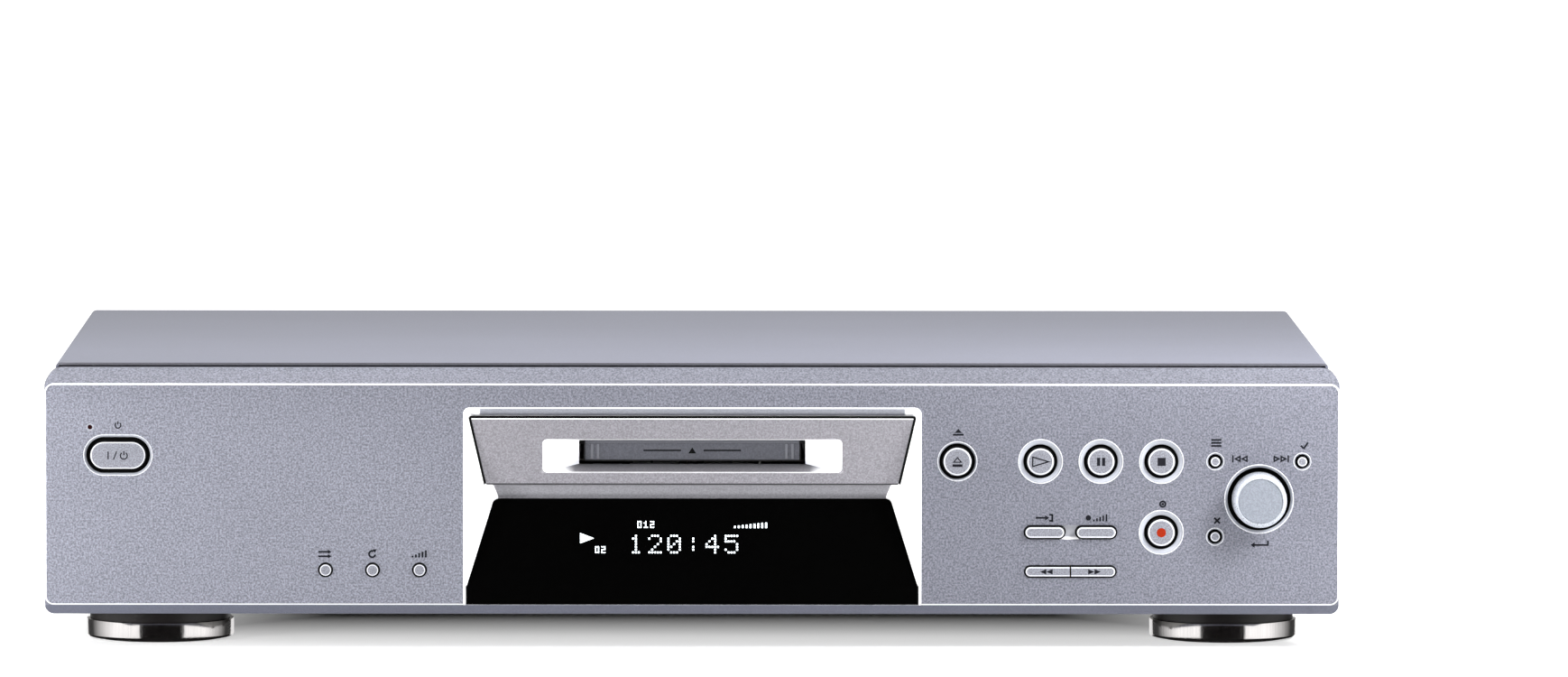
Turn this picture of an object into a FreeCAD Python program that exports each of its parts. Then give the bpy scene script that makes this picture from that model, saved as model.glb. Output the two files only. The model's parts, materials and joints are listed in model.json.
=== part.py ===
"""A minidisc deck: a front-loading disc recorder in a flat hi-fi housing.

Sizes are in millimetres. +X is to the right of someone who faces the deck, +Y runs to its back and +Z
is up. The origin lies on the table, under the middle of the whole deck. "Depth" always means the distance
behind the front face, so a depth below zero stands out of it.
"""

import FreeCAD, Part

import math
import os

V = FreeCAD.Vector
ALONG_X = V(1, 0, 0)
ALONG_Y = V(0, 1, 0)
ALONG_Z = V(0, 0, 1)
fusion_margin = 0.01  # keeps tangent faces from falling exactly together

# --------------------------------------------------------------------------------------------------
# Driving sizes: the housing
# --------------------------------------------------------------------------------------------------
panel_width = 430.0
body_depth = 267.0  # front face to the back of the cover
deck_height = 95.0  # table to the top of the cover
knob_reach = 10.5  # the jog knob stands this far out of the front face
jack_reach = 7.5  # the phono sleeves stand this far out of the back

panel_bottom = 12.0  # height of the moulded front's lowest edge
face_bottom = 15.2
face_top = 88.9
panel_top = 93.7
face_corner = 3.0
face_edge = 0.8  # rounding of the front plate's rim
frame_setback = 1.0  # the frame round the front plate lies this far behind it
top_slope_depth = 8.0
bottom_slope_depth = 3.5
panel_depth = 16.0
panel_wall = 3.0
panel_side_wall = 2.5
panel_top_wall = 2.0
panel_top_corner = 6.0
panel_bottom_corner = 3.0
rib_thickness = 1.2
rib_depth = 5.0

cover_inset = 3.0  # the cover stops this far inside the front panel's ends
cover_sheet = 0.8
cover_bend = 2.0
cover_front_depth = 11.5
cover_bottom = 14.0
cover_flange = 9.0  # the flange that turns down over the rear panel
pan_sheet = 1.0
pan_bottom = 12.6
pan_side_height = 18.0
pan_front_height = 8.0
sheet_gap = 0.1  # between sheets that are screwed together
rear_sheet = 1.0
rear_lip = 6.0  # the rear panel's foot, which lies on the pan
body_gap = 0.3  # between the moulded front and the sheet metal

# --------------------------------------------------------------------------------------------------
# Driving sizes: the centre recess, its loading panel, slot and display window
# --------------------------------------------------------------------------------------------------
recess_half_width = 75.5
recess_top = 80.4
recess_corner = 1.6
recess_splay = 0.84  # how far a side wall comes inwards for each unit of depth
recess_rim = 0.6  # visible rim of the recess moulding in the front plate
recess_wall = 2.0
recess_flange = 3.0
recess_flange_sheet = 2.0
ceiling_depth = 2.6
ceiling_drop = 2.1

loader_top = 77.7
loader_bottom = 54.5
loader_top_depth = 1.2
loader_bottom_depth = 7.4
loader_thickness = 2.8
loader_gap = 0.4
loader_foot_gap = 0.1
loader_corner = 0.8
shelf_lift = 0.2
step_top = 54.2
step_top_depth = 11.1
step_bottom = 50.3
step_bottom_depth = 12.9

mouth_half_width = 49.9
mouth_top = 70.2
mouth_bottom = 58.9
mouth_corner = 1.6
throat_half_width = 37.7
throat_top = 69.2
throat_bottom = 61.2
throat_corner = 0.4
throat_depth = 12.4
tunnel_wall = 1.5
tunnel_end_depth = 14.0
fit_clearance = 0.15  # moulded parts that slip into one another

window_top = 50.0
window_bottom = 15.3
window_knee = 21.8
window_top_depth = 11.1
window_knee_depth = 0.6
window_thickness = 1.8
window_gap = 0.2
window_corner = 1.4

flap_half_width = 36.2
flap_floor_gap = 0.8
flap_thickness = 1.2
flap_pivot_height = 68.5
flap_pivot_depth = 15.3
flap_pin_radius = 0.7
flap_spine_radius = 0.8
flap_ear_length = 3.4
flap_rib_width = 0.8
flap_rib_height = 0.25
running_clearance = 0.05

# --------------------------------------------------------------------------------------------------
# Driving sizes: buttons, knob and trim rings
# --------------------------------------------------------------------------------------------------
key_travel = 0.5
key_rest_gap = 0.6  # between a key's stem and its switch
key_proud = 1.5
key_flange = 1.3  # a key's retaining collar is this much wider than its cap
key_flange_sheet = 1.2
key_flange_gap = 0.2
key_stem_radius = 1.3
small_key_proud = 1.0
ring_depth = 1.6
ring_proud = 0.25
ring_lip = 0.5

transport_row = 63.2  # heights of the rows
record_row = 39.6
shuttle_row = 26.5
mode_row = 26.9
power_row = 65.1

transport_key_radius = 4.8
transport_hole_radius = 5.55
transport_ring_radius = 7.45
transport_key_bevel = 0.8
transport_pitch = 20.1
transport_shift = 2.45  # how far the pause key lies left of the middle between eject key and knob
eject_from_recess = 12.5
eject_key_radius = 5.0
eject_hole_radius = 5.8
eject_ring_radius = 6.65

small_key_radius = 1.75
small_hole_radius = 2.25
small_ring_radius = 3.0
small_key_bevel = 0.35
menu_shift = 1.65  # how far the menu key lies right of the middle between stop key and knob
yes_from_knob = 14.3
clear_row = 38.2

mode_key_radius = 2.1
mode_hole_radius = 2.5
mode_pitch = 15.6
level_from_recess = 15.1

pill_width = 13.5
pill_height = 4.2
pill_gap = 0.3
pill_bevel = 0.7
pill_pitch = 17.1
shuttle_width = 30.3
shuttle_height = 3.7
shuttle_split = 0.5
trough_radius = 3.0
trough_depth = 1.2

power_from_end = 24.4
power_width = 18.7
power_height = 9.4
power_bevel = 0.9
power_hole_width = 21.0
power_hole_height = 11.7
power_ring_width = 22.9
power_ring_height = 13.8
lamp_from_end = 15.1
lamp_row = 74.4
lamp_radius = 0.75
lamp_body_radius = 1.5

knob_from_end = 26.7
knob_row = 50.7
knob_radius = 9.2
knob_face_radius = 7.35
knob_hole_radius = 10.5
knob_ring_radius = 11.55
knob_skirt_depth = 2.4
knob_round = 1.3
knob_wall = 1.6
knob_dish = 0.35
knob_taper = 0.35
push_fit = 0.02  # the knob is pushed on to its shaft
shaft_radius = 3.0
shaft_end_depth = 9.0
shaft_flat = 1.0
bushing_radius = 4.5
plunger_radius = 1.5
plunger_length = 2.4
encoder_side = 12.0
encoder_front = 7.4

# --------------------------------------------------------------------------------------------------
# Driving sizes: front electronics
# --------------------------------------------------------------------------------------------------
board_thickness = 1.6
key_board_depth = 13.0
key_board_bottom = 19.0
key_board_top = 78.0
key_board_end_gap = 7.5  # between a key board and the panel's end
key_board_recess_gap = 7.0
switch_side = 6.0
switch_height = 3.5
switch_stem = 0.9
switch_stem_radius = 1.7
boss_radius = 3.0
boss_hole_radius = 1.1
lower_boss_row = 25.0
middle_boss_row = 51.0
upper_boss_row = 71.0
end_boss_inset = 11.5
display_board_depth = 26.0
display_board_half_width = 68.0
display_board_bottom = 20.0
display_board_top = 46.0
display_post_radius = 2.5
display_post_x = 60.0
display_post_rows = (24.0, 42.5)
tube_half_width = 50.0
tube_side_gap = 0.8
tube_height = 21.0
tube_thickness = 6.0
tube_gap = 1.0  # between the window's back and the tube's glass
tube_middle = 36.5
tube_tip_radius = 1.5
tube_tip_length = 2.5
cradle_width = 6.0
cradle_inset = 12.0

# --------------------------------------------------------------------------------------------------
# Driving sizes: boards, power supply and sockets at the back
# --------------------------------------------------------------------------------------------------
post_height = 8.4  # posts pressed out of the pan, which carry the boards
post_radius = 3.0
post_inset = 7.0  # from a board's edges to its posts
main_board_front = 22.0  # distance from the deck's middle
power_board_width = 107.0
power_board_length = 34.0
board_gap = 10.0
board_side_gap = 6.5
board_rear_gap = 4.0

phono_from_side = 53.1
phono_pitch = 14.0
phono_body_depth = 11.0
phono_margin = 7.0
sleeve_radius = 4.15
sleeve_collar_radius = 5.0
sleeve_bore = 1.6
sleeve_bore_depth = 8.0
optical_from_phono = 40.0
optical_pitch = 15.0
optical_side = 10.0
optical_socket = 7.4
optical_socket_depth = 7.0
optical_body_depth = 13.0
optical_notch = 0.7
optical_lens_radius = 1.3
inlet_from_side = 43.1
inlet_height = 39.0
inlet_width = 25.0
inlet_tall = 14.0
inlet_flange = 2.5
inlet_flange_sheet = 1.6
inlet_corner = 2.0
inlet_body_depth = 18.0
inlet_cavity_width = 15.6
inlet_cavity_tall = 7.8
inlet_cavity_depth = 13.0
inlet_pin_pitch = 8.6
inlet_pin_radius = 1.2
inlet_pin_length = 9.5

can_bevel = 0.5
sink_width = 32.0
sink_height = 30.0
sink_plate = 2.0
sink_fin = 1.2
sink_fin_length = 8.0
sink_fin_count = 6
ribbon_thickness = 0.4
ribbon_plug_inset = 11.0
ribbon_plug_height = 7.0
ribbon_plug_length = 6.0
ribbon_plug_margin = 3.0
display_ribbon_inset = 29.0
display_ribbon_width = 16.0
mech_ribbon_x = 27.0
mech_ribbon_width = 22.0
core_width = 57.0
core_height = 48.0
core_stack = 24.0
core_window = 9.5
core_from_side = 51.0
core_from_board = 57.0  # power board's front to the core's middle
core_foot = 9.0
core_foot_inset = 4.0
core_lift = 1.0
coil_overhang = 9.0
coil_gap = 0.3
coil_corner = 3.0
bobbin_flange = 1.4
bobbin_rim = 0.6

# --------------------------------------------------------------------------------------------------
# Driving sizes: the disc mechanism
# --------------------------------------------------------------------------------------------------
disc_width = 72.0  # the cartridge that the deck takes in
disc_length = 68.0
disc_thickness = 5.0
disc_height = 65.2  # middle of the cartridge as it goes in
holder_sheet = 0.8
holder_side_gap = 1.4
holder_floor_gap = 0.5
holder_roof_gap = 0.9
holder_front_depth = 24.0
holder_lip = 4.0
holder_drop = 5.0
slider_travel = 12.0

mech_sheet = 1.2
mech_floor = 46.0  # underside of the mechanism's base plate
mech_front_depth = 30.0
mech_half_width = 46.0
mech_rear_length = 62.0  # from the spindle to the base plate's back edge
spindle_depth = 59.5
guide_wall_x = 40.0
guide_wall_top = 72.0
slider_x = 42.0
slider_sheet = 1.2
cam_pin_radius = 1.2
cam_pin_front = 20.0  # the cam pins lie this far in front of the spindle and behind it
cam_pin_rear = 12.0
cam_clearance = 0.2
leg_width = 12.0
leg_foot = 8.0
leg_inset = 4.0

gear_module = 0.8
pressure_angle = math.radians(25)
gear_backlash = 0.16
rack_line = 58.0
rack_thickness = 2.0
rack_floor_gap = 0.8
load_wheel_teeth = 36
load_small_teeth = 15
motor_gear_teeth = 12
wheel_thickness = 1.8
gear_post_radius = 1.5
gear_post_rise = 0.8  # above the wheel's top
gear_y_from_spindle = 6.0
wing_margin = 4.0  # of the base plate beyond the wheel
load_motor_radius = 10.0
load_motor_length = 20.0
load_motor_flat = 7.6
motor_shaft_radius = 0.75
motor_shaft_depth = 8.0  # how far the shaft reaches into its motor
motor_cap_radius = 3.0
motor_cap_height = 1.2

turntable_radius = 8.0
turntable_height = 3.2
turntable_hub_radius = 4.2
turntable_top = 59.4
stator_radius = 10.0
stator_height = 4.8
spindle_radius = 1.0
bearing_radius = 2.4
stator_coil_radius = 2.2
stator_coil_count = 6
rotor_rim = 1.0
rotor_rim_height = 1.4
nose_height = 1.8
nose_radius = 1.9
nose_tip_radius = 1.2

guide_rod_x = 17.0
guide_rod_radius = 1.5
guide_rod_height = 51.6
sled_end_gap = 5.0  # between the sled's last place and the rods' rear block
guide_rod_start = 2.5  # behind the spindle's axis
rod_block = 4.0
rod_block_half_width = 3.0
rod_block_rise = 3.0
sled_start = 14.5  # the lens's nearest place to the spindle
sled_travel = 17.0
sled_front = 4.0
sled_rear = 14.0
sled_half_width = 21.0
sled_bottom = 49.2
sled_top = 55.6
lens_radius = 2.4
lens_top = 56.2
screw_x = 27.0
screw_radius = 1.3
screw_start = 6.0  # behind the spindle's axis
screw_collar = 0.8
screw_collar_length = 1.6
screw_end_in_motor = 2.5
sled_motor_radius = 4.0
sled_motor_length = 11.0
arm_reach = 26.0  # from the lens back to the head arm's pivot
arm_pivot_height = 74.0
arm_half_width = 2.5
arm_thickness = 1.2
arm_ear_gap = 0.3
arm_ear_thickness = 1.4
arm_pin_radius = 0.8
arm_barrel_radius = 1.5
head_depth = 3.4

# --------------------------------------------------------------------------------------------------
# Driving sizes: feet and screws
# --------------------------------------------------------------------------------------------------
foot_from_end = 36.3
front_foot_depth = 49.5
rear_foot_inset = 38.0
foot_ring_radius = 24.7
foot_ring_height = 6.2
foot_body_radius = 23.6
foot_ring_wall = 1.2
foot_hollow_radius = 17.0
foot_pad_radius = 21.0
foot_pad_thickness = 1.0
foot_lift = 0.5  # the ring clears the table by this much
foot_web = 2.2  # the foot's floor, which the screw pulls up against the pan
foot_shoulder = 1.0  # drop from the foot's seat to its rim
foot_recess_gap = 1.0  # round a screw's head
screw_shank_radius = 1.5
screw_head_radius = 3.0
screw_head_height = 1.8
screw_head_bevel = 0.6
cover_screw_height = 22.0
cover_screw_length = 4.0
rear_screw_length = 5.0
board_screw_length = 7.0
foot_screw_grip = 2.5  # how far a foot's screw reaches into the housing
rear_screw_inset = 62.0  # from the cover's sides to the outer rear screws

# --------------------------------------------------------------------------------------------------
# Places that follow from those sizes
# --------------------------------------------------------------------------------------------------
panel_half = panel_width / 2
overall_depth = knob_reach + body_depth + jack_reach
face_y = knob_reach - overall_depth / 2
back_y = face_y + body_depth
rear_panel_back = back_y - cover_sheet
rear_panel_front = rear_panel_back - rear_sheet
rear_panel_top = deck_height - cover_bend - sheet_gap
cover_half = panel_half - cover_inset
pan_half = cover_half - cover_sheet - sheet_gap
pan_top = pan_bottom + pan_sheet
pan_front = face_y + panel_depth + body_gap
pan_back = rear_panel_front - sheet_gap
board_bottom = pan_top + post_height
board_top = board_bottom + board_thickness
main_board_back = rear_panel_front - board_rear_gap
main_board_end = pan_half - board_side_gap
power_board_start = board_side_gap - pan_half
power_board_end = power_board_start + power_board_width
power_board_front = main_board_back - power_board_length
main_board_start = power_board_end + board_gap
ribbon_plug_y = main_board_front + ribbon_plug_inset
display_ribbon_x = main_board_start + display_ribbon_inset
phono_x = pan_half - phono_from_side
optical_x = phono_x - optical_from_phono
inlet_x = inlet_from_side - pan_half
core_x = core_from_side - pan_half
core_y = power_board_front - core_from_board
foot_x = panel_half - foot_from_end
knob_x = panel_half - knob_from_end
yes_x = knob_x + yes_from_knob
eject_x = recess_half_width + eject_from_recess
pause_x = (eject_x + knob_x) / 2 - transport_shift
play_x = pause_x - transport_pitch
stop_x = pause_x + transport_pitch
menu_x = (stop_x + knob_x) / 2 + menu_shift
shuttle_x = (play_x + pause_x) / 2
input_x = shuttle_x - pill_pitch / 2
record_mode_x = shuttle_x + pill_pitch / 2
level_x = -recess_half_width - level_from_recess
repeat_x = level_x - mode_pitch
mode_x = repeat_x - mode_pitch
power_x = power_from_end - panel_half
lamp_x = lamp_from_end - panel_half
key_board_start = recess_half_width + key_board_recess_gap
key_board_end = panel_half - key_board_end_gap
spindle_y = face_y + spindle_depth
mech_top = mech_floor + mech_sheet
mech_front = face_y + mech_front_depth
mech_back = spindle_y + mech_rear_length
holder_inside_floor = disc_height - disc_thickness / 2 - holder_floor_gap
holder_inside_roof = disc_height + disc_thickness / 2 + holder_roof_gap
holder_half = disc_width / 2 + holder_side_gap
holder_front = face_y + holder_front_depth
holder_back = spindle_y + disc_length / 2 + holder_side_gap
cam_pin_height = disc_height
cam_pin_places = (spindle_y - cam_pin_front, spindle_y + cam_pin_rear)
gear_x = rack_line + gear_module * load_small_teeth / 2
gear_y = spindle_y + gear_y_from_spindle
motor_gear_distance = gear_module * (load_wheel_teeth + motor_gear_teeth) / 2
motor_y = gear_y + motor_gear_distance
wing_edge = gear_x + gear_module * load_wheel_teeth / 2 + wing_margin
rack_bottom = mech_top + rack_floor_gap
wheel_bottom = rack_bottom + rack_thickness + running_clearance * 8
switch_top_depth = key_board_depth - switch_height - switch_stem
key_stem_end = switch_top_depth - key_rest_gap
lens_y = spindle_y + sled_start
arm_pivot_y = lens_y + arm_reach
flap_pin_end = throat_half_width + tunnel_wall - 2 * fit_clearance
window_slope = (window_top_depth - window_knee_depth) / (window_top - window_knee)
window_lean = math.degrees(math.atan(window_slope))
loader_slope = (loader_bottom_depth - loader_top_depth) / (loader_top - loader_bottom)
loader_lean = math.degrees(math.atan(loader_slope))


# --------------------------------------------------------------------------------------------------
# Shapes that many pieces share
# --------------------------------------------------------------------------------------------------
def block(x0, x1, y0, y1, z0, z1):
    """A box between three pairs of limits."""
    return Part.makeBox(x1 - x0, y1 - y0, z1 - z0, V(x0, y0, z0))


def deep_block(x0, x1, depth0, depth1, z0, z1):
    """A box whose Y limits are depths behind the front face."""
    return block(x0, x1, face_y + depth0, face_y + depth1, z0, z1)


def rod(x, y, z, direction, radius, length):
    return Part.makeCylinder(radius, length, V(x, y, z), direction)


def deep_rod(x, z, radius, depth0, depth1):
    """A round bar that runs along Y between two depths."""
    return rod(x, face_y + depth0, z, ALONG_Y, radius, depth1 - depth0)


def joined(shapes):
    first, *others = shapes
    return first.fuse(others).removeSplitter() if others else first


def prism(points, along):
    """A polygon of points pushed along a vector."""
    return Part.Face(Part.makePolygon(points + points[:1])).extrude(along)


def side_prism(points, x0, x1):
    """A profile of (depth, height) points, pushed along X."""
    return prism([V(x0, face_y + depth, z) for depth, z in points], V(x1 - x0, 0, 0))


def flat_prism(points, z0, z1):
    """A profile of (x, y) points, pushed up."""
    return prism([V(x, y, z0) for x, y in points], V(0, 0, z1 - z0))


def rounded_outline(x, z, width, height, radius, y):
    """The wire of a rectangle with round corners, in a plane that faces the front."""
    half_w = width / 2
    half_h = height / 2
    r = min(radius, half_w, half_h)
    reach = r * math.sqrt(0.5)
    centres = [(1, -1), (1, 1), (-1, 1), (-1, -1)]
    starts = [(0, -1), (1, 0), (0, 1), (-1, 0)]
    edges = []
    last = None
    first = None
    for (sx, sz), (ax, az) in zip(centres, starts):
        cx = x + sx * (half_w - r)
        cz = z + sz * (half_h - r)
        start = V(cx + ax * r, y, cz + az * r)
        middle = V(cx + sx * reach, y, cz + sz * reach)
        end = V(cx - az * r, y, cz + ax * r)
        if last and (start - last).Length > 1e-6:
            edges.append(Part.LineSegment(last, start).toShape())
        edges.append(Part.Arc(start, middle, end).toShape())
        first = first or start
        last = end
    if (first - last).Length > 1e-6:
        edges.append(Part.LineSegment(last, first).toShape())
    return Part.Wire(edges)


def rounded_bar(x, z, width, height, radius, depth0, depth1):
    """A bar with round corners that runs along Y between two depths."""
    wire = rounded_outline(x, z, width, height, radius, face_y + depth0)
    return Part.Face(wire).extrude(V(0, depth1 - depth0, 0))


def pill_bar(x, z, width, height, depth0, depth1):
    """A bar with half-round ends that runs along Y between two depths."""
    return rounded_bar(x, z, width, height, min(width, height) / 2 - fusion_margin, depth0, depth1)


def rounded_plate(x, y, width, length, radius, z0, z1):
    """A flat plate with round corners, seen from above."""
    bar = rounded_bar(x, 0, width, length, radius, 0, z1 - z0)
    bar.translate(V(0, -face_y, 0))
    bar.rotate(V(0, 0, 0), ALONG_X, 90)
    bar.translate(V(0, y, z0))
    return bar


def turned(profile, x, z):
    """A solid of revolution about an axis along Y. The profile has (radius, depth) points."""
    points = [V(x + radius, face_y + depth, z) for radius, depth in profile]
    face = Part.Face(Part.makePolygon(points + points[:1]))
    return face.revolve(V(x, 0, z), ALONG_Y, 360)


def upright_turned(profile, x, y):
    """A solid of revolution about an upright axis. The profile has (radius, height) points."""
    points = [V(x + radius, y, z) for radius, z in profile]
    face = Part.Face(Part.makePolygon(points + points[:1]))
    return face.revolve(V(x, y, 0), ALONG_Z, 360)


def softened(shape, radius, chosen):
    """Rounds the edges for which chosen(edge) is true."""
    edges = [edge for edge in shape.Edges if chosen(edge)]
    return shape.makeFillet(radius, edges) if edges else shape


def lies_at_depth(edge, depth):
    box = edge.BoundBox
    place = face_y + depth
    return abs(box.YMin - place) < 1e-4 and abs(box.YMax - place) < 1e-4


def mirrored(shape):
    """The same piece on the other side of the deck's middle plane."""
    return shape.mirror(V(0, 0, 0), ALONG_X)


def write(name, *solids):
    """Saves one piece, which may be several separate solids, as its own STEP file."""
    found = []
    for shape in solids:
        found += shape.Solids
    for solid in found:
        if not solid.isValid() or solid.Volume <= 0:
            raise ValueError(f"{name} has a faulty solid")
    whole = found[0] if len(found) == 1 else Part.makeCompound(found)
    whole.exportStep(f"parts/{name}.step")
    print(f"{name:20s} {len(found):3d} solids {whole.Volume / 1000:10.2f} cm3")


# --------------------------------------------------------------------------------------------------
# Housing: cover, pan, rear panel
# --------------------------------------------------------------------------------------------------
front_side_screw = 60.0  # depth of the front screw in the cover's side
rear_side_screw = 40.0  # from the back to the rear one
side_screw_places = (face_y + front_side_screw, back_y - rear_side_screw)
outer_rear_screw = cover_half - rear_screw_inset
rear_screw_places = (-outer_rear_screw, 0.0, outer_rear_screw)
rear_screw_height = deck_height - cover_sheet - cover_flange / 2


def sheet_hood(half_width, top, bend, y0, y1):
    """A long block with its two upper edges bent round."""
    hood = block(-half_width, half_width, y0, y1, cover_bottom, top)

    def upper_edge(edge):
        box = edge.BoundBox
        return box.YLength > 1 and box.ZMin > top - fusion_margin

    return softened(hood, bend, upper_edge)


def top_cover():
    front = face_y + cover_front_depth
    outer = sheet_hood(cover_half, deck_height, cover_bend, front, back_y)
    inner = sheet_hood(cover_half - cover_sheet, deck_height - cover_sheet, cover_bend - cover_sheet,
                       front - 1, back_y + 1)
    inner = inner.fuse(inner.translated(V(0, 0, -cover_bottom)))
    shell = outer.cut(inner)
    shell = shell.cut(deep_block(-cover_half - 1, cover_half + 1, 0, panel_depth + body_gap,
                                 0, deck_height - cover_sheet))
    flange = block(-cover_half + cover_bend, cover_half - cover_bend, back_y - cover_sheet, back_y,
                   deck_height - cover_sheet - cover_flange, deck_height - cover_sheet / 2)
    shell = shell.fuse(flange)
    hole = screw_shank_radius + sheet_gap
    holes = [rod(-cover_half - 1, y, cover_screw_height, ALONG_X, hole, 2 * cover_half + 2)
             for y in side_screw_places]
    holes += [rod(x, back_y - 2, rear_screw_height, ALONG_Y, hole, 4) for x in rear_screw_places]
    return shell.cut(holes).removeSplitter()


vent_slot_length = 34.0
vent_slot_width = 2.6
vent_slot_pitch = 6.0
vent_slot_count = 9
pan_bead_width = 6.0
pan_bead_height = 0.8
pan_bead_pitch = 18.0
vent_rows = (core_y - 62.0, core_y + 38.0)
board_outlines = (
    (main_board_start, main_board_end, main_board_front, main_board_back),
    (power_board_start, power_board_end, power_board_front, main_board_back),
)
board_posts = [(x, y) for x0, x1, y0, y1 in board_outlines
               for x in (x0 + post_inset, x1 - post_inset) for y in (y0 + post_inset, y1 - post_inset)]
front_foot_y = face_y + front_foot_depth
rear_foot_y = back_y - rear_foot_inset
foot_places = [(x, y) for y in (front_foot_y, rear_foot_y) for x in (-foot_x, foot_x)]


def vent_row(x, y):
    """Cooling slots through the pan, side by side along X and centred on (x, y)."""
    start = x - (vent_slot_count - 1) * vent_slot_pitch / 2 - vent_slot_width / 2
    half = vent_slot_length / 2
    return [block(left, left + vent_slot_width, y - half, y + half, pan_bottom - 1, pan_top + 1)
            for left in [start + step * vent_slot_pitch for step in range(vent_slot_count)]]


def chassis_pan():
    floor = block(-pan_half, pan_half, pan_front, pan_back, pan_bottom, pan_top)
    side = block(-pan_half, -pan_half + pan_sheet, pan_front, pan_back, pan_bottom,
                 pan_bottom + pan_side_height)
    front = block(-pan_half, pan_half, pan_front, pan_front + pan_sheet, pan_bottom,
                  pan_bottom + pan_front_height)
    posts = [rod(x, y, pan_bottom, ALONG_Z, post_radius, board_bottom - pan_bottom) for x, y in board_posts]
    between = (wing_edge + foot_x) / 2
    beads = [block(x - pan_bead_width / 2, x + pan_bead_width / 2, front_foot_y - foot_ring_radius, mech_back,
                   pan_top - pan_sheet / 2, pan_top + pan_bead_height)
             for x in (between - pan_bead_pitch / 2, between + pan_bead_pitch / 2)]
    pan = joined([floor, side, mirrored(side), front] + posts + beads + [mirrored(bead) for bead in beads])
    hole = screw_shank_radius + sheet_gap
    holes = [rod(x, y, pan_bottom - 1, ALONG_Z, hole, pan_sheet + 2) for x, y in foot_places]
    holes += [rod(-pan_half - 1, y, cover_screw_height, ALONG_X, hole, 2 * pan_half + 2)
              for y in side_screw_places]
    holes += [rod(x, y, pan_bottom - 1, ALONG_Z, hole, board_bottom - pan_bottom + 2) for x, y in board_posts]
    vents = [slot for y in vent_rows for slot in vent_row(core_x, y)]
    return pan.cut(holes + vents)


phono_rows = (board_top + phono_margin, board_top + phono_margin + phono_pitch)
phono_columns = (phono_x, phono_x + phono_pitch)
optical_columns = (optical_x, optical_x + optical_pitch)
optical_row = board_top + optical_side / 2
rear_vent_count = 14
rear_vent_pitch = 7.0
rear_vent_height = 26.0
rear_vent_start = -60.0
rear_vent_middle = 60.0


def rear_panel():
    sheet = block(-pan_half, pan_half, rear_panel_front, rear_panel_back, pan_bottom, rear_panel_top)
    lip = block(-pan_half + pan_sheet + body_gap, pan_half - pan_sheet - body_gap,
                rear_panel_front - rear_lip, rear_panel_front, pan_top, pan_top + rear_sheet)
    panel = joined([sheet, lip])
    cuts = [rod(x, rear_panel_front - 1, z, ALONG_Y, sleeve_collar_radius + fit_clearance, rear_sheet + 2)
            for x in phono_columns for z in phono_rows]
    side = optical_side / 2 + fit_clearance
    before = rear_panel_front - 1
    after = rear_panel_back + 1
    cuts += [block(x - side, x + side, before, after, optical_row - side, optical_row + side)
             for x in optical_columns]
    wide = inlet_width / 2 + fit_clearance
    tall = inlet_tall / 2 + fit_clearance
    cuts.append(block(inlet_x - wide, inlet_x + wide, before, after,
                      inlet_height - tall, inlet_height + tall))
    cuts += [rod(x, before, rear_screw_height, ALONG_Y, screw_shank_radius + sheet_gap, rear_sheet + 2)
             for x in rear_screw_places]
    for step in range(rear_vent_count):
        left = rear_vent_start + step * rear_vent_pitch
        cuts.append(block(left, left + vent_slot_width, before, after,
                          rear_vent_middle - rear_vent_height / 2, rear_vent_middle + rear_vent_height / 2))
    return panel.cut(cuts)


# --------------------------------------------------------------------------------------------------
# Centre recess
# --------------------------------------------------------------------------------------------------
def window_depth(z):
    """Depth of the window's front surface at a height."""
    return window_knee_depth + max(0, z - window_knee) * window_slope


def recess_plan(half_width, depth):
    """The recess seen from above, as a tall block whose sides close in with depth."""
    inner = half_width - recess_splay * depth
    points = [(-half_width, 0), (half_width, 0), (inner, depth), (-inner, depth)]
    return flat_prism([(x, face_y + d) for x, d in points], window_bottom - 5, recess_top + 5)


def recess_space(grow):
    """The hollow of the centre recess, or with grow above zero the outside of its moulding.

    Seen from above its side walls close in with depth. Seen from the side it leans back under the loading
    panel, steps in behind it, and comes forward again along the window.
    """
    deepest = step_bottom_depth + grow
    behind_loader = loader_thickness + grow
    profile = [
        (0, window_bottom - grow), (0, recess_top + grow),
        (ceiling_depth + grow, recess_top - ceiling_drop + grow),
        (loader_top_depth + behind_loader, recess_top - ceiling_drop + grow),
        (loader_bottom_depth + behind_loader, loader_bottom + loader_foot_gap),
        (step_top_depth + grow, step_top),
        (deepest, step_bottom),
        (window_top_depth + window_thickness + grow, window_top),
        (window_knee_depth + window_thickness + grow, window_knee),
        (window_knee_depth + window_thickness + grow, window_bottom - grow),
    ]
    wide = recess_half_width + grow
    return recess_plan(wide, deepest).common(side_prism(profile, -wide, wide))


def slot_throat(grow, start, end):
    """The straight passage that the cartridge goes through."""
    return deep_block(-throat_half_width - grow, throat_half_width + grow, start, end,
                      throat_bottom - grow, throat_top + grow)


def recess_mouth(grow, start, end):
    """The recess's outline in the front plate: square at the foot and round at the two upper corners."""
    height = recess_top - window_bottom + 2 * grow
    bar = rounded_bar(0, (recess_top + window_bottom) / 2, 2 * (recess_half_width + grow), height,
                      recess_corner + grow, start, end)
    foot = deep_block(-recess_half_width - grow, recess_half_width + grow, start, end,
                      window_bottom, window_bottom + recess_corner + grow)
    kept = deep_block(-panel_width, panel_width, start, end, window_bottom, deck_height)
    return joined([bar.common(kept), foot])


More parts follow.
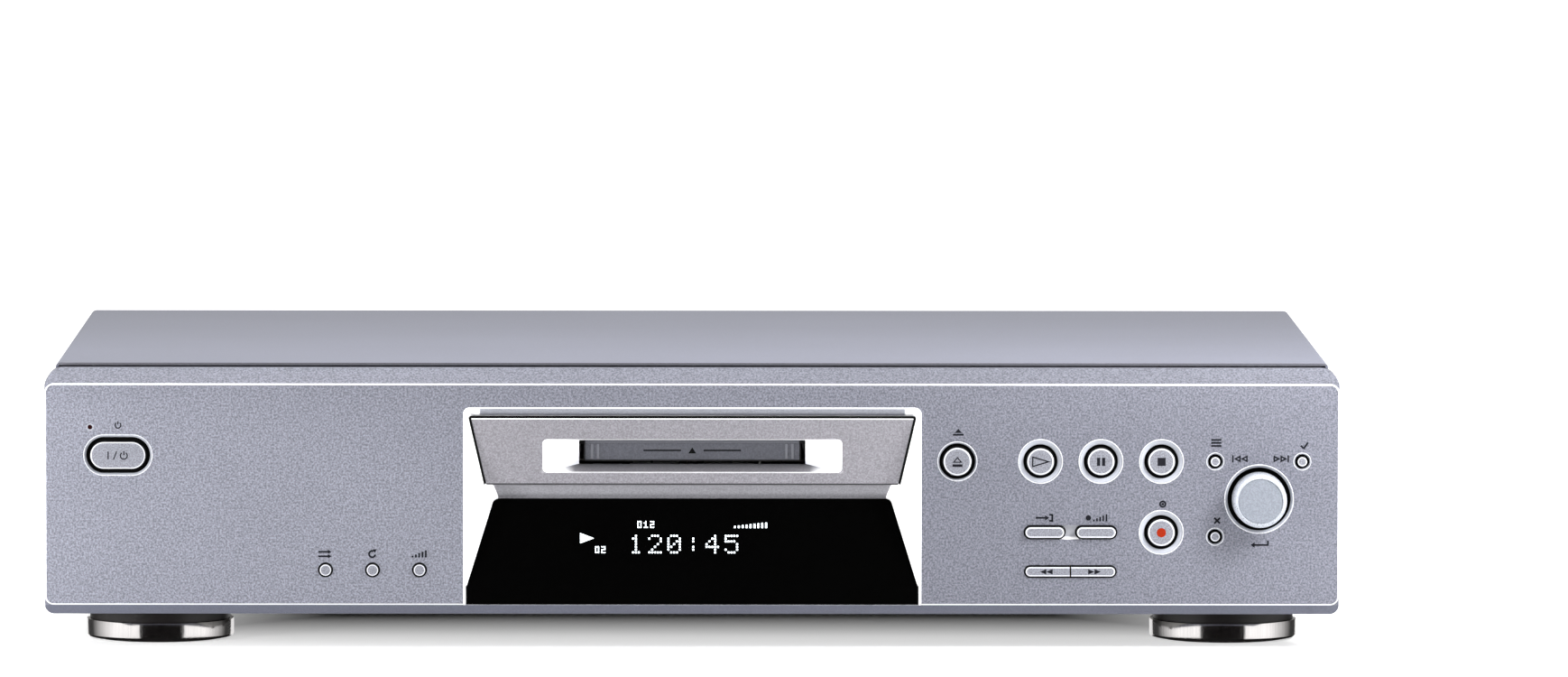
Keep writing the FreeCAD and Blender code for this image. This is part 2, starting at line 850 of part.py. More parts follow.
def centre_recess():
    floor = panel_bottom + panel_side_wall + fit_clearance
    behind = step_bottom_depth + recess_wall
    rim = recess_mouth(recess_rim, 0, panel_wall + recess_flange_sheet / 2)
    flange = deep_block(-recess_half_width - recess_flange, recess_half_width + recess_flange, panel_wall,
                        panel_wall + recess_flange_sheet, floor, recess_top + recess_flange)
    behind_plate = deep_block(-panel_width, panel_width, panel_wall, behind, floor, deck_height)
    shell = recess_space(recess_wall).common(behind_plate)
    posts = []
    for x in (-display_post_x, display_post_x):
        for z in display_post_rows:
            start = window_depth(z) + window_thickness + 0.6 * recess_wall
            posts.append(deep_rod(x, z, display_post_radius, start, display_board_depth))
    body = joined([rim, flange, shell] + posts)
    rounded = recess_mouth(0, 0, ceiling_depth)
    square = deep_block(-recess_half_width, recess_half_width, ceiling_depth - fusion_margin, behind,
                        window_bottom, recess_top)
    hollow = recess_space(0).common(rounded.fuse(square))
    body = body.cut(hollow)
    funnel_room = deep_block(-mouth_half_width - fit_clearance, mouth_half_width + fit_clearance, 0, behind,
                             mouth_bottom - fit_clearance, throat_top + tunnel_wall + fit_clearance)
    screw_holes = [deep_rod(x, z, boss_hole_radius, display_board_depth - 6, display_board_depth + 1)
                   for x in (-display_post_x, display_post_x) for z in display_post_rows]
    return body.cut([funnel_room, display_tube_hole()] + screw_holes).removeSplitter()


def display_tube_hole():
    """The opening that the recess moulding leaves behind the window, in front of the display tube."""
    return deep_block(-tube_half_width, tube_half_width, 0, step_bottom_depth + 2 * recess_wall,
                      tube_middle - tube_height / 2, tube_middle + tube_height / 2)


def mouth_outline():
    """The rim of the funnel, lying in the slanted face of the loading panel."""
    middle = (mouth_top + mouth_bottom) / 2
    depth = loader_top_depth + (loader_top - middle) * loader_slope
    tall = (mouth_top - mouth_bottom) / math.cos(math.radians(loader_lean))
    wire = rounded_outline(0, 0, 2 * mouth_half_width, tall, mouth_corner, 0)
    wire.rotate(V(0, 0, 0), ALONG_X, loader_lean)
    wire.translate(V(0, face_y + depth, middle))
    return wire


def throat_outline(grow):
    return rounded_outline(0, (throat_top + throat_bottom) / 2, 2 * (throat_half_width + grow),
                           throat_top - throat_bottom + 2 * grow, throat_corner + grow, face_y + throat_depth)


def funnel_wall():
    """The outside of the funnel: the panel's rim, narrowing on to the tunnel."""
    start = mouth_outline()
    start.translate(V(0, loader_thickness / 2, 0))
    return Part.makeLoft([start, throat_outline(tunnel_wall)], True, True)


def loading_panel():
    """The slanted panel round the slot, with the funnel and the tunnel moulded behind it."""
    wide = recess_half_width - loader_gap
    back = loader_thickness - fit_clearance
    foot = loader_bottom + loader_foot_gap + fit_clearance
    slant = [(loader_top_depth, loader_top), (loader_bottom_depth, foot),
             (loader_bottom_depth + back, foot), (loader_top_depth + back, loader_top)]
    plate = recess_plan(wide, step_bottom_depth).common(side_prism(slant, -wide, wide))
    plate = softened(plate, loader_corner, slanted_corner)
    tunnel = slot_throat(tunnel_wall, throat_depth, tunnel_end_depth)
    ear_end = tunnel_end_depth + flap_ear_length
    ear = deep_block(throat_half_width, throat_half_width + tunnel_wall, tunnel_end_depth - 1, ear_end,
                     throat_bottom - tunnel_wall, throat_top + tunnel_wall)
    shelf = deep_block(-throat_half_width, throat_half_width, tunnel_end_depth - 1, ear_end,
                       throat_top + shelf_lift, throat_top + tunnel_wall)
    body = joined([plate, funnel_wall(), tunnel, ear, mirrored(ear), shelf])
    mouth = mouth_outline()
    opening = Part.Face(mouth).extrude(V(0, -loader_thickness, 0))
    funnel = Part.makeLoft([mouth, throat_outline(0)], True, True)
    passage = slot_throat(0, throat_depth - fusion_margin, tunnel_end_depth)
    pivot = rod(-recess_half_width, face_y + flap_pivot_depth, flap_pivot_height, ALONG_X,
                flap_pin_radius + running_clearance, 2 * recess_half_width)
    return body.cut([opening, funnel, passage, pivot]).removeSplitter()


def slanted_corner(edge):
    """True for the four short edges at the corners of the loading panel's plate."""
    box = edge.BoundBox
    return box.ZLength < 1e-3 and box.XLength < 3 and box.YLength > 1


def display_window():
    """The dark bent window: slanted in front of the tube, upright along its foot."""
    gap = window_gap
    front = [(window_top_depth, window_top - gap), (window_knee_depth, window_knee),
             (window_knee_depth, window_bottom)]
    back = [(depth + window_thickness - gap, z) for depth, z in reversed(front)]
    wide = recess_half_width - gap
    pane = recess_plan(wide, step_bottom_depth).common(side_prism(front + back, -wide, wide))
    top = window_top - gap
    return softened(pane, window_corner, lambda edge: edge.BoundBox.ZMin > top - fusion_margin
                    and edge.BoundBox.XLength < 3)


def slot_flap():
    """The dark shutter that hangs behind the slot and swings inwards as a disc goes in."""
    bottom = throat_bottom + flap_floor_gap
    front = flap_pivot_depth - flap_thickness / 2
    pivot_y = face_y + flap_pivot_depth
    plate = deep_block(-flap_half_width, flap_half_width, front, front + flap_thickness, bottom,
                       flap_pivot_height)
    spine = rod(-flap_half_width, pivot_y, flap_pivot_height, ALONG_X, flap_spine_radius, 2 * flap_half_width)
    pin = rod(-flap_pin_end, pivot_y, flap_pivot_height, ALONG_X, flap_pin_radius, 2 * flap_pin_end)
    ribs = []
    for inset in (2.4, 4.4):
        start = flap_half_width - inset - flap_rib_width
        rib = deep_block(start, start + flap_rib_width, front - flap_rib_height, front + flap_rib_height,
                         bottom + flap_rib_width, flap_pivot_height - flap_rib_width)
        ribs += [rib, mirrored(rib)]
    return joined([plate, spine, pin] + ribs)


# --------------------------------------------------------------------------------------------------
# Front panel
# --------------------------------------------------------------------------------------------------
round_keys = {
    "play_button": (play_x, transport_row, transport_key_radius, transport_key_bevel),
    "pause_button": (pause_x, transport_row, transport_key_radius, transport_key_bevel),
    "stop_button": (stop_x, transport_row, transport_key_radius, transport_key_bevel),
    "record_button": (stop_x, record_row, transport_key_radius, transport_key_bevel),
    "eject_button": (eject_x, transport_row, eject_key_radius, transport_key_bevel),
    "menu_button": (menu_x, transport_row, small_key_radius, small_key_bevel),
    "yes_button": (yes_x, transport_row, small_key_radius, small_key_bevel),
    "clear_button": (menu_x, clear_row, small_key_radius, small_key_bevel),
    "play_mode_button": (mode_x, mode_row, mode_key_radius, small_key_bevel),
    "repeat_button": (repeat_x, mode_row, mode_key_radius, small_key_bevel),
    "level_button": (level_x, mode_row, mode_key_radius, small_key_bevel),
}
half_shuttle = (shuttle_width - shuttle_split) / 4 + shuttle_split / 2
key_places = [(x, z) for x, z, radius, bevel in round_keys.values()]
key_places += [(input_x, record_row), (record_mode_x, record_row), (power_x, power_row)]
key_places += [(shuttle_x - half_shuttle, shuttle_row), (shuttle_x + half_shuttle, shuttle_row)]

round_holes = [(x, transport_row, transport_hole_radius) for x in (play_x, pause_x, stop_x)]
round_holes += [(stop_x, record_row, transport_hole_radius), (eject_x, transport_row, eject_hole_radius)]
round_holes += [(knob_x, knob_row, knob_hole_radius)]
small_ring_places = ((menu_x, transport_row), (yes_x, transport_row), (menu_x, clear_row))
round_holes += [(x, z, small_hole_radius) for x, z in small_ring_places]
mode_holes = [(x, mode_row, mode_hole_radius) for x in (mode_x, repeat_x, level_x)]
ring_radii = [transport_ring_radius] * 4 + [eject_ring_radius, knob_ring_radius] + [small_ring_radius] * 3

cross_rib_height = 84.0
recess_rib_gap = 2.0  # between the recess moulding's flange and the ribs beside it
end_rib_inset = 8.0
left_boss_x = (power_x + mode_x) / 2
left_bosses = ((left_boss_x, upper_boss_row), (left_boss_x, lower_boss_row), (repeat_x, upper_boss_row))
first_boss_x = (eject_x + play_x) / 2
right_bosses = ((first_boss_x, upper_boss_row), (first_boss_x, lower_boss_row),
                ((pause_x + stop_x) / 2, middle_boss_row), (panel_half - end_boss_inset, lower_boss_row))
upright_ribs = (end_rib_inset - panel_half, left_boss_x - rib_thickness / 2)


def frame_profile(wall):
    """The moulded frame seen from the side, or its hollow when wall is the thickness left round it."""
    if wall == 0:
        return [(frame_setback, face_bottom), (frame_setback, face_top), (top_slope_depth, panel_top),
                (panel_depth, panel_top), (panel_depth, panel_bottom), (bottom_slope_depth, panel_bottom)]
    inside_top = panel_top - panel_top_wall
    return [(wall, panel_bottom + panel_side_wall), (wall, face_top - panel_top_wall / 2),
            (top_slope_depth + wall / 4, inside_top), (panel_depth + 1, inside_top),
            (panel_depth + 1, panel_bottom + panel_side_wall)]


def panel_shell():
    middle = (panel_top + panel_bottom) / 2
    tall = panel_top - panel_bottom
    outline = rounded_bar(0, middle, panel_width, tall, panel_top_corner, 0, panel_depth + 1)
    lower = rounded_bar(0, middle, panel_width, tall, panel_bottom_corner, 0, panel_depth + 1)
    cutter = deep_block(-panel_width, panel_width, -1, panel_depth + 2, panel_bottom - 1, middle)
    outline = joined([outline.cut(cutter), lower.common(cutter)])
    frame = outline.common(side_prism(frame_profile(0), -panel_half, panel_half))
    plate = rounded_bar(0, (face_top + face_bottom) / 2, panel_width, face_top - face_bottom, face_corner,
                        0, panel_wall / 2)
    plate = softened(plate, face_edge, lambda edge: lies_at_depth(edge, 0))
    inner_half = panel_half - panel_side_wall
    hollow = side_prism(frame_profile(panel_wall), -inner_half, inner_half)
    rounded = rounded_bar(0, middle, 2 * inner_half, tall - 2 * panel_top_wall,
                          panel_top_corner - panel_top_wall, 0, panel_depth + 2)
    lower_half = deep_block(-inner_half, inner_half, 0, panel_depth + 2, panel_bottom, middle)
    hollow = hollow.common(rounded.fuse(lower_half))
    return frame.fuse(plate).cut(hollow)


def front_panel():
    body = panel_shell()
    inside = panel_wall - 0.5  # ribs and bosses start within the wall
    inner_half = panel_half - panel_side_wall
    edge_of_recess = recess_half_width + recess_flange + recess_rib_gap
    cross_rib = deep_block(-inner_half, -edge_of_recess, inside, panel_wall + rib_depth, cross_rib_height,
                           cross_rib_height + rib_thickness)
    ribs = [cross_rib, mirrored(cross_rib)]
    for x in upright_ribs + (-edge_of_recess, edge_of_recess - rib_thickness):
        ribs.append(deep_block(x, x + rib_thickness, inside, panel_wall + rib_depth,
                               panel_bottom + panel_side_wall / 2, cross_rib_height + rib_thickness))
    places = left_bosses + right_bosses
    bosses = [deep_rod(x, z, boss_radius, inside, key_board_depth) for x, z in places]
    body = joined([body] + ribs + bosses)
    through = panel_wall + 1
    cuts = [deep_rod(x, z, boss_hole_radius, through, key_board_depth + 1) for x, z in places]
    cuts.append(recess_mouth(recess_rim + fusion_margin, -1, through))
    for (x, z, radius), ring_radius in zip(round_holes, ring_radii):
        cuts.append(deep_rod(x, z, radius, -1, through))
        cuts.append(deep_rod(x, z, ring_radius, -1, ring_depth))
    cuts += [deep_rod(x, z, radius, -1, through) for x, z, radius in mode_holes]
    around = 2 * pill_gap
    for x in (input_x, record_mode_x):
        cuts.append(pill_bar(x, record_row, pill_width + around, pill_height + around, -1, through))
    cuts.append(pill_bar(shuttle_x, shuttle_row, shuttle_width + around, shuttle_height + around,
                         -1, through))
    cuts.append(pill_bridge())
    cuts.append(pill_bar(power_x, power_row, power_hole_width, power_hole_height, -1, through))
    cuts.append(pill_bar(power_x, power_row, power_ring_width, power_ring_height, -1, ring_depth))
    cuts.append(deep_rod(lamp_x, lamp_row, lamp_radius, -1, through))
    return body.cut(cuts).removeSplitter()


def pill_bridge():
    """A shallow round-bottomed trough in the face, between the two pill-shaped keys."""
    start = input_x + pill_width / 2 - 1
    end = record_mode_x - pill_width / 2 + 1
    return rod(start, face_y - trough_radius + trough_depth, record_row, ALONG_X, trough_radius, end - start)


# --------------------------------------------------------------------------------------------------
# Buttons, trim rings, jog knob
# --------------------------------------------------------------------------------------------------
key_collar = panel_wall + key_flange_gap


def round_key(x, z, radius, bevel):
    """A turned cap with a bevelled rim, a collar behind the panel and a stem that presses the switch."""
    proud = key_proud if radius > mode_key_radius else small_key_proud
    collar = radius + key_flange
    stem = min(key_stem_radius, radius - 0.4)
    back = key_collar + key_flange_sheet
    return turned([
        (0, -proud), (radius - bevel, -proud), (radius - bevel / 3, -proud + bevel / 4),
        (radius, -proud + bevel),
        (radius, key_collar), (collar, key_collar), (collar, back), (stem, back), (stem, key_stem_end),
        (0, key_stem_end),
    ], x, z)


def long_key(x, z, width, height, bevel, proud):
    """A cap with round ends, a collar behind the panel and a stem."""
    cap = pill_bar(x, z, width, height, -proud, key_collar + key_flange_sheet / 2)
    cap = softened(cap, bevel, lambda edge: lies_at_depth(edge, -proud))
    collar = pill_bar(x, z, width + key_flange, height + 2 * key_flange, key_collar,
                      key_collar + key_flange_sheet)
    stem = deep_rod(x, z, key_stem_radius, key_collar, key_stem_end)
    return joined([cap, collar, stem])


def shuttle_key(side):
    """One half of the split rocker-like pair: round at its outer end and square at the split."""
    whole = pill_bar(shuttle_x, shuttle_row, shuttle_width, shuttle_height, -small_key_proud,
                     key_collar + key_flange_sheet / 2)
    collar = pill_bar(shuttle_x, shuttle_row, shuttle_width + 2 * key_flange, shuttle_height + 2 * key_flange,
                      key_collar, key_collar + key_flange_sheet)
    whole = softened(whole, pill_bevel, lambda edge: lies_at_depth(edge, -small_key_proud)).fuse(collar)
    near = shuttle_x + side * shuttle_split / 2
    far = shuttle_x + side * shuttle_width
    half = whole.common(deep_block(min(near, far), max(near, far), -key_board_depth, key_board_depth,
                                   shuttle_row - 2 * shuttle_height, shuttle_row + 2 * shuttle_height))
    stem = deep_rod(shuttle_x + side * half_shuttle, shuttle_row, key_stem_radius, key_collar, key_stem_end)
    return joined([half, stem])


def trim_ring(x, z, outer, inner):
    """A ring pressed into the face, with a raised lip and a dished slope down to the key."""
    return turned([(inner, ring_depth), (inner, ring_depth * 0.45), (outer - ring_lip, -ring_proud),
                   (outer - ring_lip * 0.3, -ring_proud), (outer, 0), (outer, ring_depth)], x, z)


def power_ring():
    outer = pill_bar(power_x, power_row, power_ring_width, power_ring_height, -ring_proud, ring_depth)
    outer = softened(outer, ring_proud, lambda edge: lies_at_depth(edge, -ring_proud))
    mouth_width = power_ring_width - 2 * ring_lip
    mouth_height = power_ring_height - 2 * ring_lip
    front = rounded_outline(power_x, power_row, mouth_width, mouth_height, mouth_height / 2 - fusion_margin,
                            face_y - ring_proud)
    back = rounded_outline(power_x, power_row, power_hole_width, power_hole_height,
                           power_hole_height / 2 - fusion_margin, face_y + ring_depth)
    return outer.cut(Part.makeLoft([front, back], True, True))


def trim_rings():
    rings = [trim_ring(x, z, outer, radius) for (x, z, radius), outer in zip(round_holes, ring_radii)]
    return rings + [power_ring()]


def jog_knob():
    """The turned jog knob: a shallow dish in its face, a rounded rim, and a bored hub behind."""
    front = -knob_reach
    outer = turned([
        (0, front + knob_dish), (knob_face_radius - knob_dish, front + knob_dish), (knob_face_radius, front),
        (knob_radius - knob_round, front + knob_round * 0.35),
        (knob_radius - knob_round * 0.3, front + knob_round),
        (knob_radius - knob_taper, front + 2 * knob_round),
        (knob_radius, knob_skirt_depth), (0, knob_skirt_depth),
    ], knob_x, knob_row)
    hub = shaft_radius + knob_wall
    rim = knob_radius - knob_wall
    floor = front + 3 * knob_wall
    hollow = turned([(hub, floor), (rim, floor), (rim, knob_skirt_depth), (hub, knob_skirt_depth)],
                    knob_x, knob_row)
    bore = deep_rod(knob_x, knob_row, shaft_radius + push_fit, -knob_reach + 2 * knob_wall,
                    knob_skirt_depth + 1)
    flat = deep_block(knob_x - 2 * shaft_radius, knob_x + 2 * shaft_radius, -knob_reach, knob_skirt_depth + 1,
                      knob_row + shaft_radius - shaft_flat + push_fit, knob_row + 2 * shaft_radius)
    return outer.cut(hollow).cut(bore.cut(flat))


def jog_shaft():
    """The encoder's shaft, with the flat that turns it together with the knob."""
    shaft = deep_rod(knob_x, knob_row, shaft_radius, -knob_reach + 2 * knob_wall, shaft_end_depth)
    flat = deep_block(knob_x - shaft_radius, knob_x + shaft_radius, -knob_reach, knob_skirt_depth + body_gap,
                      knob_row + shaft_radius - shaft_flat, knob_row + 2 * shaft_radius)
    return shaft.cut(flat)


def jog_encoder():
    """The encoder's fixed body and bushing, bored for the shaft and for the push switch's plunger."""
    half = encoder_side / 2
    body = deep_block(knob_x - half, knob_x + half, encoder_front, key_board_depth, knob_row - half,
                      knob_row + half)
    bushing = deep_rod(knob_x, knob_row, bushing_radius, knob_skirt_depth + 1, encoder_front + 1)
    whole = joined([body, bushing])
    bore = deep_rod(knob_x, knob_row, shaft_radius + running_clearance, 0, shaft_end_depth + key_travel + 0.1)
    pocket = deep_rod(knob_x, knob_row, plunger_radius + running_clearance, 0, key_board_depth - 0.4)
    return whole.cut(bore).cut(pocket)


def encoder_plunger():
    """The pin behind the shaft that closes the push switch. It moves in and out, and doesn't turn."""
    start = shaft_end_depth + running_clearance
    return deep_rod(knob_x, knob_row, plunger_radius, start, start + plunger_length)


# --------------------------------------------------------------------------------------------------
# Front electronics
# --------------------------------------------------------------------------------------------------
def key_boards():
    boards = []
    back = key_board_depth + board_thickness
    for start, end, bosses in ((-key_board_end, -key_board_start, left_bosses),
                               (key_board_start, key_board_end, right_bosses)):
        board = deep_block(start, end, key_board_depth, back, key_board_bottom, key_board_top)
        holes = [deep_rod(x, z, boss_hole_radius + fit_clearance, key_board_depth - 1, back + 1)
                 for x, z in bosses]
        boards.append(board.cut(holes))
    return boards


def tact_switches():
    switches = []
    for x, z in key_places:
        half = switch_side / 2
        body = deep_block(x - half, x + half, key_board_depth - switch_height, key_board_depth,
                          z - half, z + half)
        stem = deep_rod(x, z, switch_stem_radius, switch_top_depth, key_board_depth - switch_height + 0.5)
        switches.append(joined([body, stem]))
    return switches


tube_front = window_depth(tube_middle) + window_thickness + tube_gap


def leaning(shape):
    """Tips a shape back about the middle of the tube's front, as the window leans."""
    shape.rotate(V(0, face_y + tube_front, tube_middle), ALONG_X, -window_lean)
    return shape


def display_tube():
    """The flat glass display tube, leaning back with the window, with its pumped-off glass tip at one end."""
    half_height = tube_height / 2 - tube_side_gap
    half_width = tube_half_width - tube_side_gap
    glass = leaning(deep_block(-half_width, half_width, tube_front, tube_front + tube_thickness,
                               tube_middle - half_height, tube_middle + half_height))
    tip = rod(half_width - 1, face_y + tube_front + tube_thickness / 2, tube_middle, ALONG_X, tube_tip_radius,
              tube_tip_length + 1)
    return joined([glass, tip])


def display_board():
    """The board behind the tube, with the two leaning cradles that hold the glass."""
    board = deep_block(-display_board_half_width, display_board_half_width, display_board_depth,
                       display_board_depth + board_thickness, display_board_bottom, display_board_top)
    holes = [deep_rod(x, z, boss_hole_radius + fit_clearance, display_board_depth - 1,
                      display_board_depth + board_thickness + 1)
             for x in (-display_post_x, display_post_x) for z in display_post_rows]
    start = tube_half_width - cradle_inset
    cradle = deep_block(start, start + cradle_width, tube_front, display_board_depth + board_thickness / 2,
                        tube_middle - tube_height / 2, display_board_top)
    glass_room = leaning(deep_block(-tube_half_width, tube_half_width, tube_front - tube_height,
                                    tube_front + tube_thickness + sheet_gap, tube_middle - 2 * tube_height,
                                    tube_middle + 2 * tube_height))
    cradle = cradle.cut(glass_room)
    return joined([board.cut(holes), cradle, mirrored(cradle)])


def standby_lamp():
    """The small light-emitting diode whose tip fills its hole in the face."""
    tip = deep_rod(lamp_x, lamp_row, lamp_radius - running_clearance, 0.1, panel_wall + 1)
    body = deep_rod(lamp_x, lamp_row, lamp_body_radius, panel_wall + key_flange_gap, key_board_depth)
    return joined([tip, body])


# --------------------------------------------------------------------------------------------------
# Boards, power supply and sockets at the back
# --------------------------------------------------------------------------------------------------
def circuit_boards():
    holes = [rod(x, y, board_bottom - 1, ALONG_Z, screw_shank_radius + sheet_gap, board_thickness + 2)
             for x, y in board_posts]
    return [block(x0, x1, y0, y1, board_bottom, board_top).cut(holes) for x0, x1, y0, y1 in board_outlines]


def on_board(outline, share_x, share_y):
    """The point that lies the given shares of the way along a board and from its front to its back."""
    x0, x1, y0, y1 = outline
    return x0 + share_x * (x1 - x0), y0 + share_y * (y1 - y0)


def chip(place, width, length, height):
    x, y = place
    return block(x - width / 2, x + width / 2, y - length / 2, y + length / 2, board_top, board_top + height)


def capacitor(place, radius, height):
    """An electrolytic can with a bevelled top."""
    top = board_top + height
    return upright_turned([(0, board_top), (radius, board_top), (radius, top - can_bevel),
                           (radius - can_bevel, top), (0, top)], *place)


def heat_sink(place):
    """A finned plate that cools the voltage regulator in front of it."""
    x, y = place
    left = x - sink_width / 2
    top = board_top + sink_height
    plate = block(left, left + sink_width, y, y + sink_plate, board_top, top)
    pitch = (sink_width - sink_fin) / (sink_fin_count - 1)
    fins = [block(left + step * pitch, left + step * pitch + sink_fin, y, y + sink_plate + sink_fin_length,
                  board_top, top)
            for step in range(sink_fin_count)]
    regulator = block(x - regulator_width / 2, x + regulator_width / 2, y - regulator_depth, y,
                      top - regulator_width - regulator_height, top - regulator_width)
    return joined([plate, regulator] + fins)


# Each component as its place on the board in shares of the board's size, then its own sizes.
regulator_width = 10.0
regulator_height = 16.0
regulator_depth = 4.5
main_chips = (
    (0.44, 0.37, 20.0, 20.0, 2.6), (0.60, 0.35, 14.0, 14.0, 2.0), (0.27, 0.34, 16.0, 10.0, 2.4),
    (0.71, 0.24, 12.0, 18.0, 2.0), (0.85, 0.35, 10.0, 8.0, 1.8), (0.37, 0.76, 18.0, 10.0, 2.2),
)
main_cans = ((0.10, 0.45, 8.0, 25.0), (0.17, 0.47, 6.5, 20.0), (0.09, 0.71, 6.5, 20.0),
             (0.64, 0.63, 5.0, 12.0), (0.69, 0.63, 5.0, 12.0), (0.78, 0.65, 4.0, 9.0),
             (0.93, 0.50, 5.0, 12.0))
power_cans = ((0.14, 0.5, 6.0, 16.0), (0.80, 0.5, 6.0, 16.0))
sink_place = (0.20, 0.73)


def board_parts():
    """The larger components that stand on the two boards behind the mechanism."""
    main, power = board_outlines
    chips = [chip(on_board(main, across, along), *sizes) for across, along, *sizes in main_chips]
    plugs = [chip((x, ribbon_plug_y), width + 2 * ribbon_plug_margin, ribbon_plug_length, ribbon_plug_height)
             for x, width in ((display_ribbon_x, display_ribbon_width), (mech_ribbon_x, mech_ribbon_width))]
    cans = [capacitor(on_board(board, across, along), *sizes)
            for board, group in ((main, main_cans), (power, power_cans)) for across, along, *sizes in group]
    return chips + plugs + cans + [heat_sink(on_board(main, *sink_place))]


core_bottom = pan_top + core_lift


def transformer_core():
    """The stacked plates of the mains transformer, with the feet that are screwed to the pan."""
    half = core_width / 2
    y0 = core_y - core_stack / 2
    y1 = core_y + core_stack / 2
    stack = block(core_x - half, core_x + half, y0, y1, core_bottom, core_bottom + core_height)
    window_height = core_height - 2 * core_window
    window_start = core_bottom + core_window
    holes = [block(x, x + core_window, y0 - 1, y1 + 1, window_start, window_start + window_height)
             for x in (core_x - half + core_window, core_x + half - 2 * core_window)]
    foot = block(core_x - half - core_foot, core_x + half + core_foot, y0 + core_foot_inset,
                 y1 - core_foot_inset, pan_top, core_bottom + core_lift / 2)
    return joined([stack.cut(holes), foot])


def transformer_coil():
    """The wound bobbin round the core's middle leg."""
    leg = core_width / 2 - 2 * core_window
    half = leg + core_window - coil_gap
    bottom = core_bottom + core_window + coil_gap
    top = core_bottom + core_height - core_window - coil_gap
    y0 = core_y - core_stack / 2 - coil_overhang
    y1 = core_y + core_stack / 2 + coil_overhang
    coil = softened(block(core_x - half, core_x + half, y0, y1, bottom, top), coil_corner,
                    lambda edge: edge.BoundBox.ZLength > 5)
    hole = block(core_x - leg - sheet_gap, core_x + leg + sheet_gap, core_y - core_stack / 2 - sheet_gap,
                 core_y + core_stack / 2 + sheet_gap, bottom - 1, top + 1)
    flanges = [block(core_x - half, core_x + half, y0 - bobbin_rim, y1 + bobbin_rim, z, z + bobbin_flange)
               for z in (bottom, top - bobbin_flange)]
    return joined([coil] + flanges).cut(hole)


def phono_jacks():
    """Four phono sockets in one block: two for the signal in, two for the signal out."""
    front = rear_panel_front - phono_body_depth
    body = block(phono_columns[0] - phono_margin, phono_columns[1] + phono_margin, front, rear_panel_front,
                 board_top, phono_rows[1] + phono_margin)
    sleeves = []
    bores = []
    for x in phono_columns:
        for z in phono_rows:
            sleeves.append(rod(x, rear_panel_front, z, ALONG_Y, sleeve_collar_radius,
                               back_y - rear_panel_front))
            sleeves.append(rod(x, back_y, z, ALONG_Y, sleeve_radius, jack_reach))
            bores.append(rod(x, back_y + jack_reach - sleeve_bore_depth, z, ALONG_Y, sleeve_bore,
                             sleeve_bore_depth))
    return joined([body] + sleeves).cut(bores)


def optical_jacks():
    """Two square optical sockets, open towards the back."""
    jacks = []
    for x in optical_columns:
        half = optical_side / 2
        inner = optical_socket / 2
        floor = back_y - optical_socket_depth
        body = block(x - half, x + half, back_y - optical_body_depth, back_y, board_top,
                     board_top + optical_side)
        socket = block(x - inner, x + inner, floor, back_y + 1, optical_row - inner, optical_row + inner)
        notch = block(x - 1, x + 1, floor, back_y + 1, optical_row, optical_row + inner + optical_notch)
        lens = rod(x, floor - 1, optical_row, ALONG_Y, optical_lens_radius, 2)
        jacks.append(joined([body.cut(socket.fuse(notch)), lens]))
    return jacks


def ac_inlet():
    """The two-pin mains inlet: a flanged housing round an eight-shaped hollow with two round pins."""
    outside = back_y + inlet_flange_sheet - cover_sheet
    front = rear_panel_back - inlet_body_depth
    body = block(inlet_x - inlet_width / 2, inlet_x + inlet_width / 2, front, rear_panel_back,
                 inlet_height - inlet_tall / 2, inlet_height + inlet_tall / 2)
    flange = rounded_bar(inlet_x, inlet_height, inlet_width + 2 * inlet_flange, inlet_tall + 2 * inlet_flange,
                         inlet_corner, 0, outside - rear_panel_back)
    flange.translate(V(0, rear_panel_back - face_y, 0))
    hollow = pill_bar(inlet_x, inlet_height, inlet_cavity_width, inlet_cavity_tall, 0, inlet_cavity_depth + 1)
    hollow.translate(V(0, outside - inlet_cavity_depth - face_y, 0))
    pin_start = outside - inlet_cavity_depth - 0.5
    pins = [rod(inlet_x + side * inlet_pin_pitch / 2, pin_start, inlet_height, ALONG_Y, inlet_pin_radius,
                inlet_pin_length + 0.5) for side in (-1, 1)]
    return joined([joined([body, flange]).cut(hollow)] + pins)


def ribbon_strip(points, width, x):
    """A flat flexible cable, centred on x, that follows (y, z) points."""
    upper = [V(x - width / 2, y, z + ribbon_thickness) for y, z in points]
    lower = [V(x - width / 2, y, z) for y, z in reversed(points)]
    return prism(upper + lower, V(width, 0, 0))


def ribbon_cables():
    """One ribbon from the display board and one from the mechanism, both plugged into the main board."""
    plug_top = board_top + ribbon_plug_height
    low = plug_top + 6
    under_frame = mech_floor - ribbon_thickness
    display_back = face_y + display_board_depth + board_thickness
    from_display = ribbon_strip([(display_back, low), (ribbon_plug_y - 14, low),
                                 (ribbon_plug_y - 1, plug_top), (ribbon_plug_y + 1, plug_top)],
                                display_ribbon_width, display_ribbon_x)
    from_mechanism = ribbon_strip([(spindle_y + 20, under_frame), (mech_back - 8, under_frame),
                                   (ribbon_plug_y - 1, plug_top), (ribbon_plug_y + 1, plug_top)],
                                  mech_ribbon_width, mech_ribbon_x)
    return [from_display, from_mechanism]


# --------------------------------------------------------------------------------------------------
# Disc mechanism
# --------------------------------------------------------------------------------------------------
def involute(angle):
    return math.tan(angle) - angle


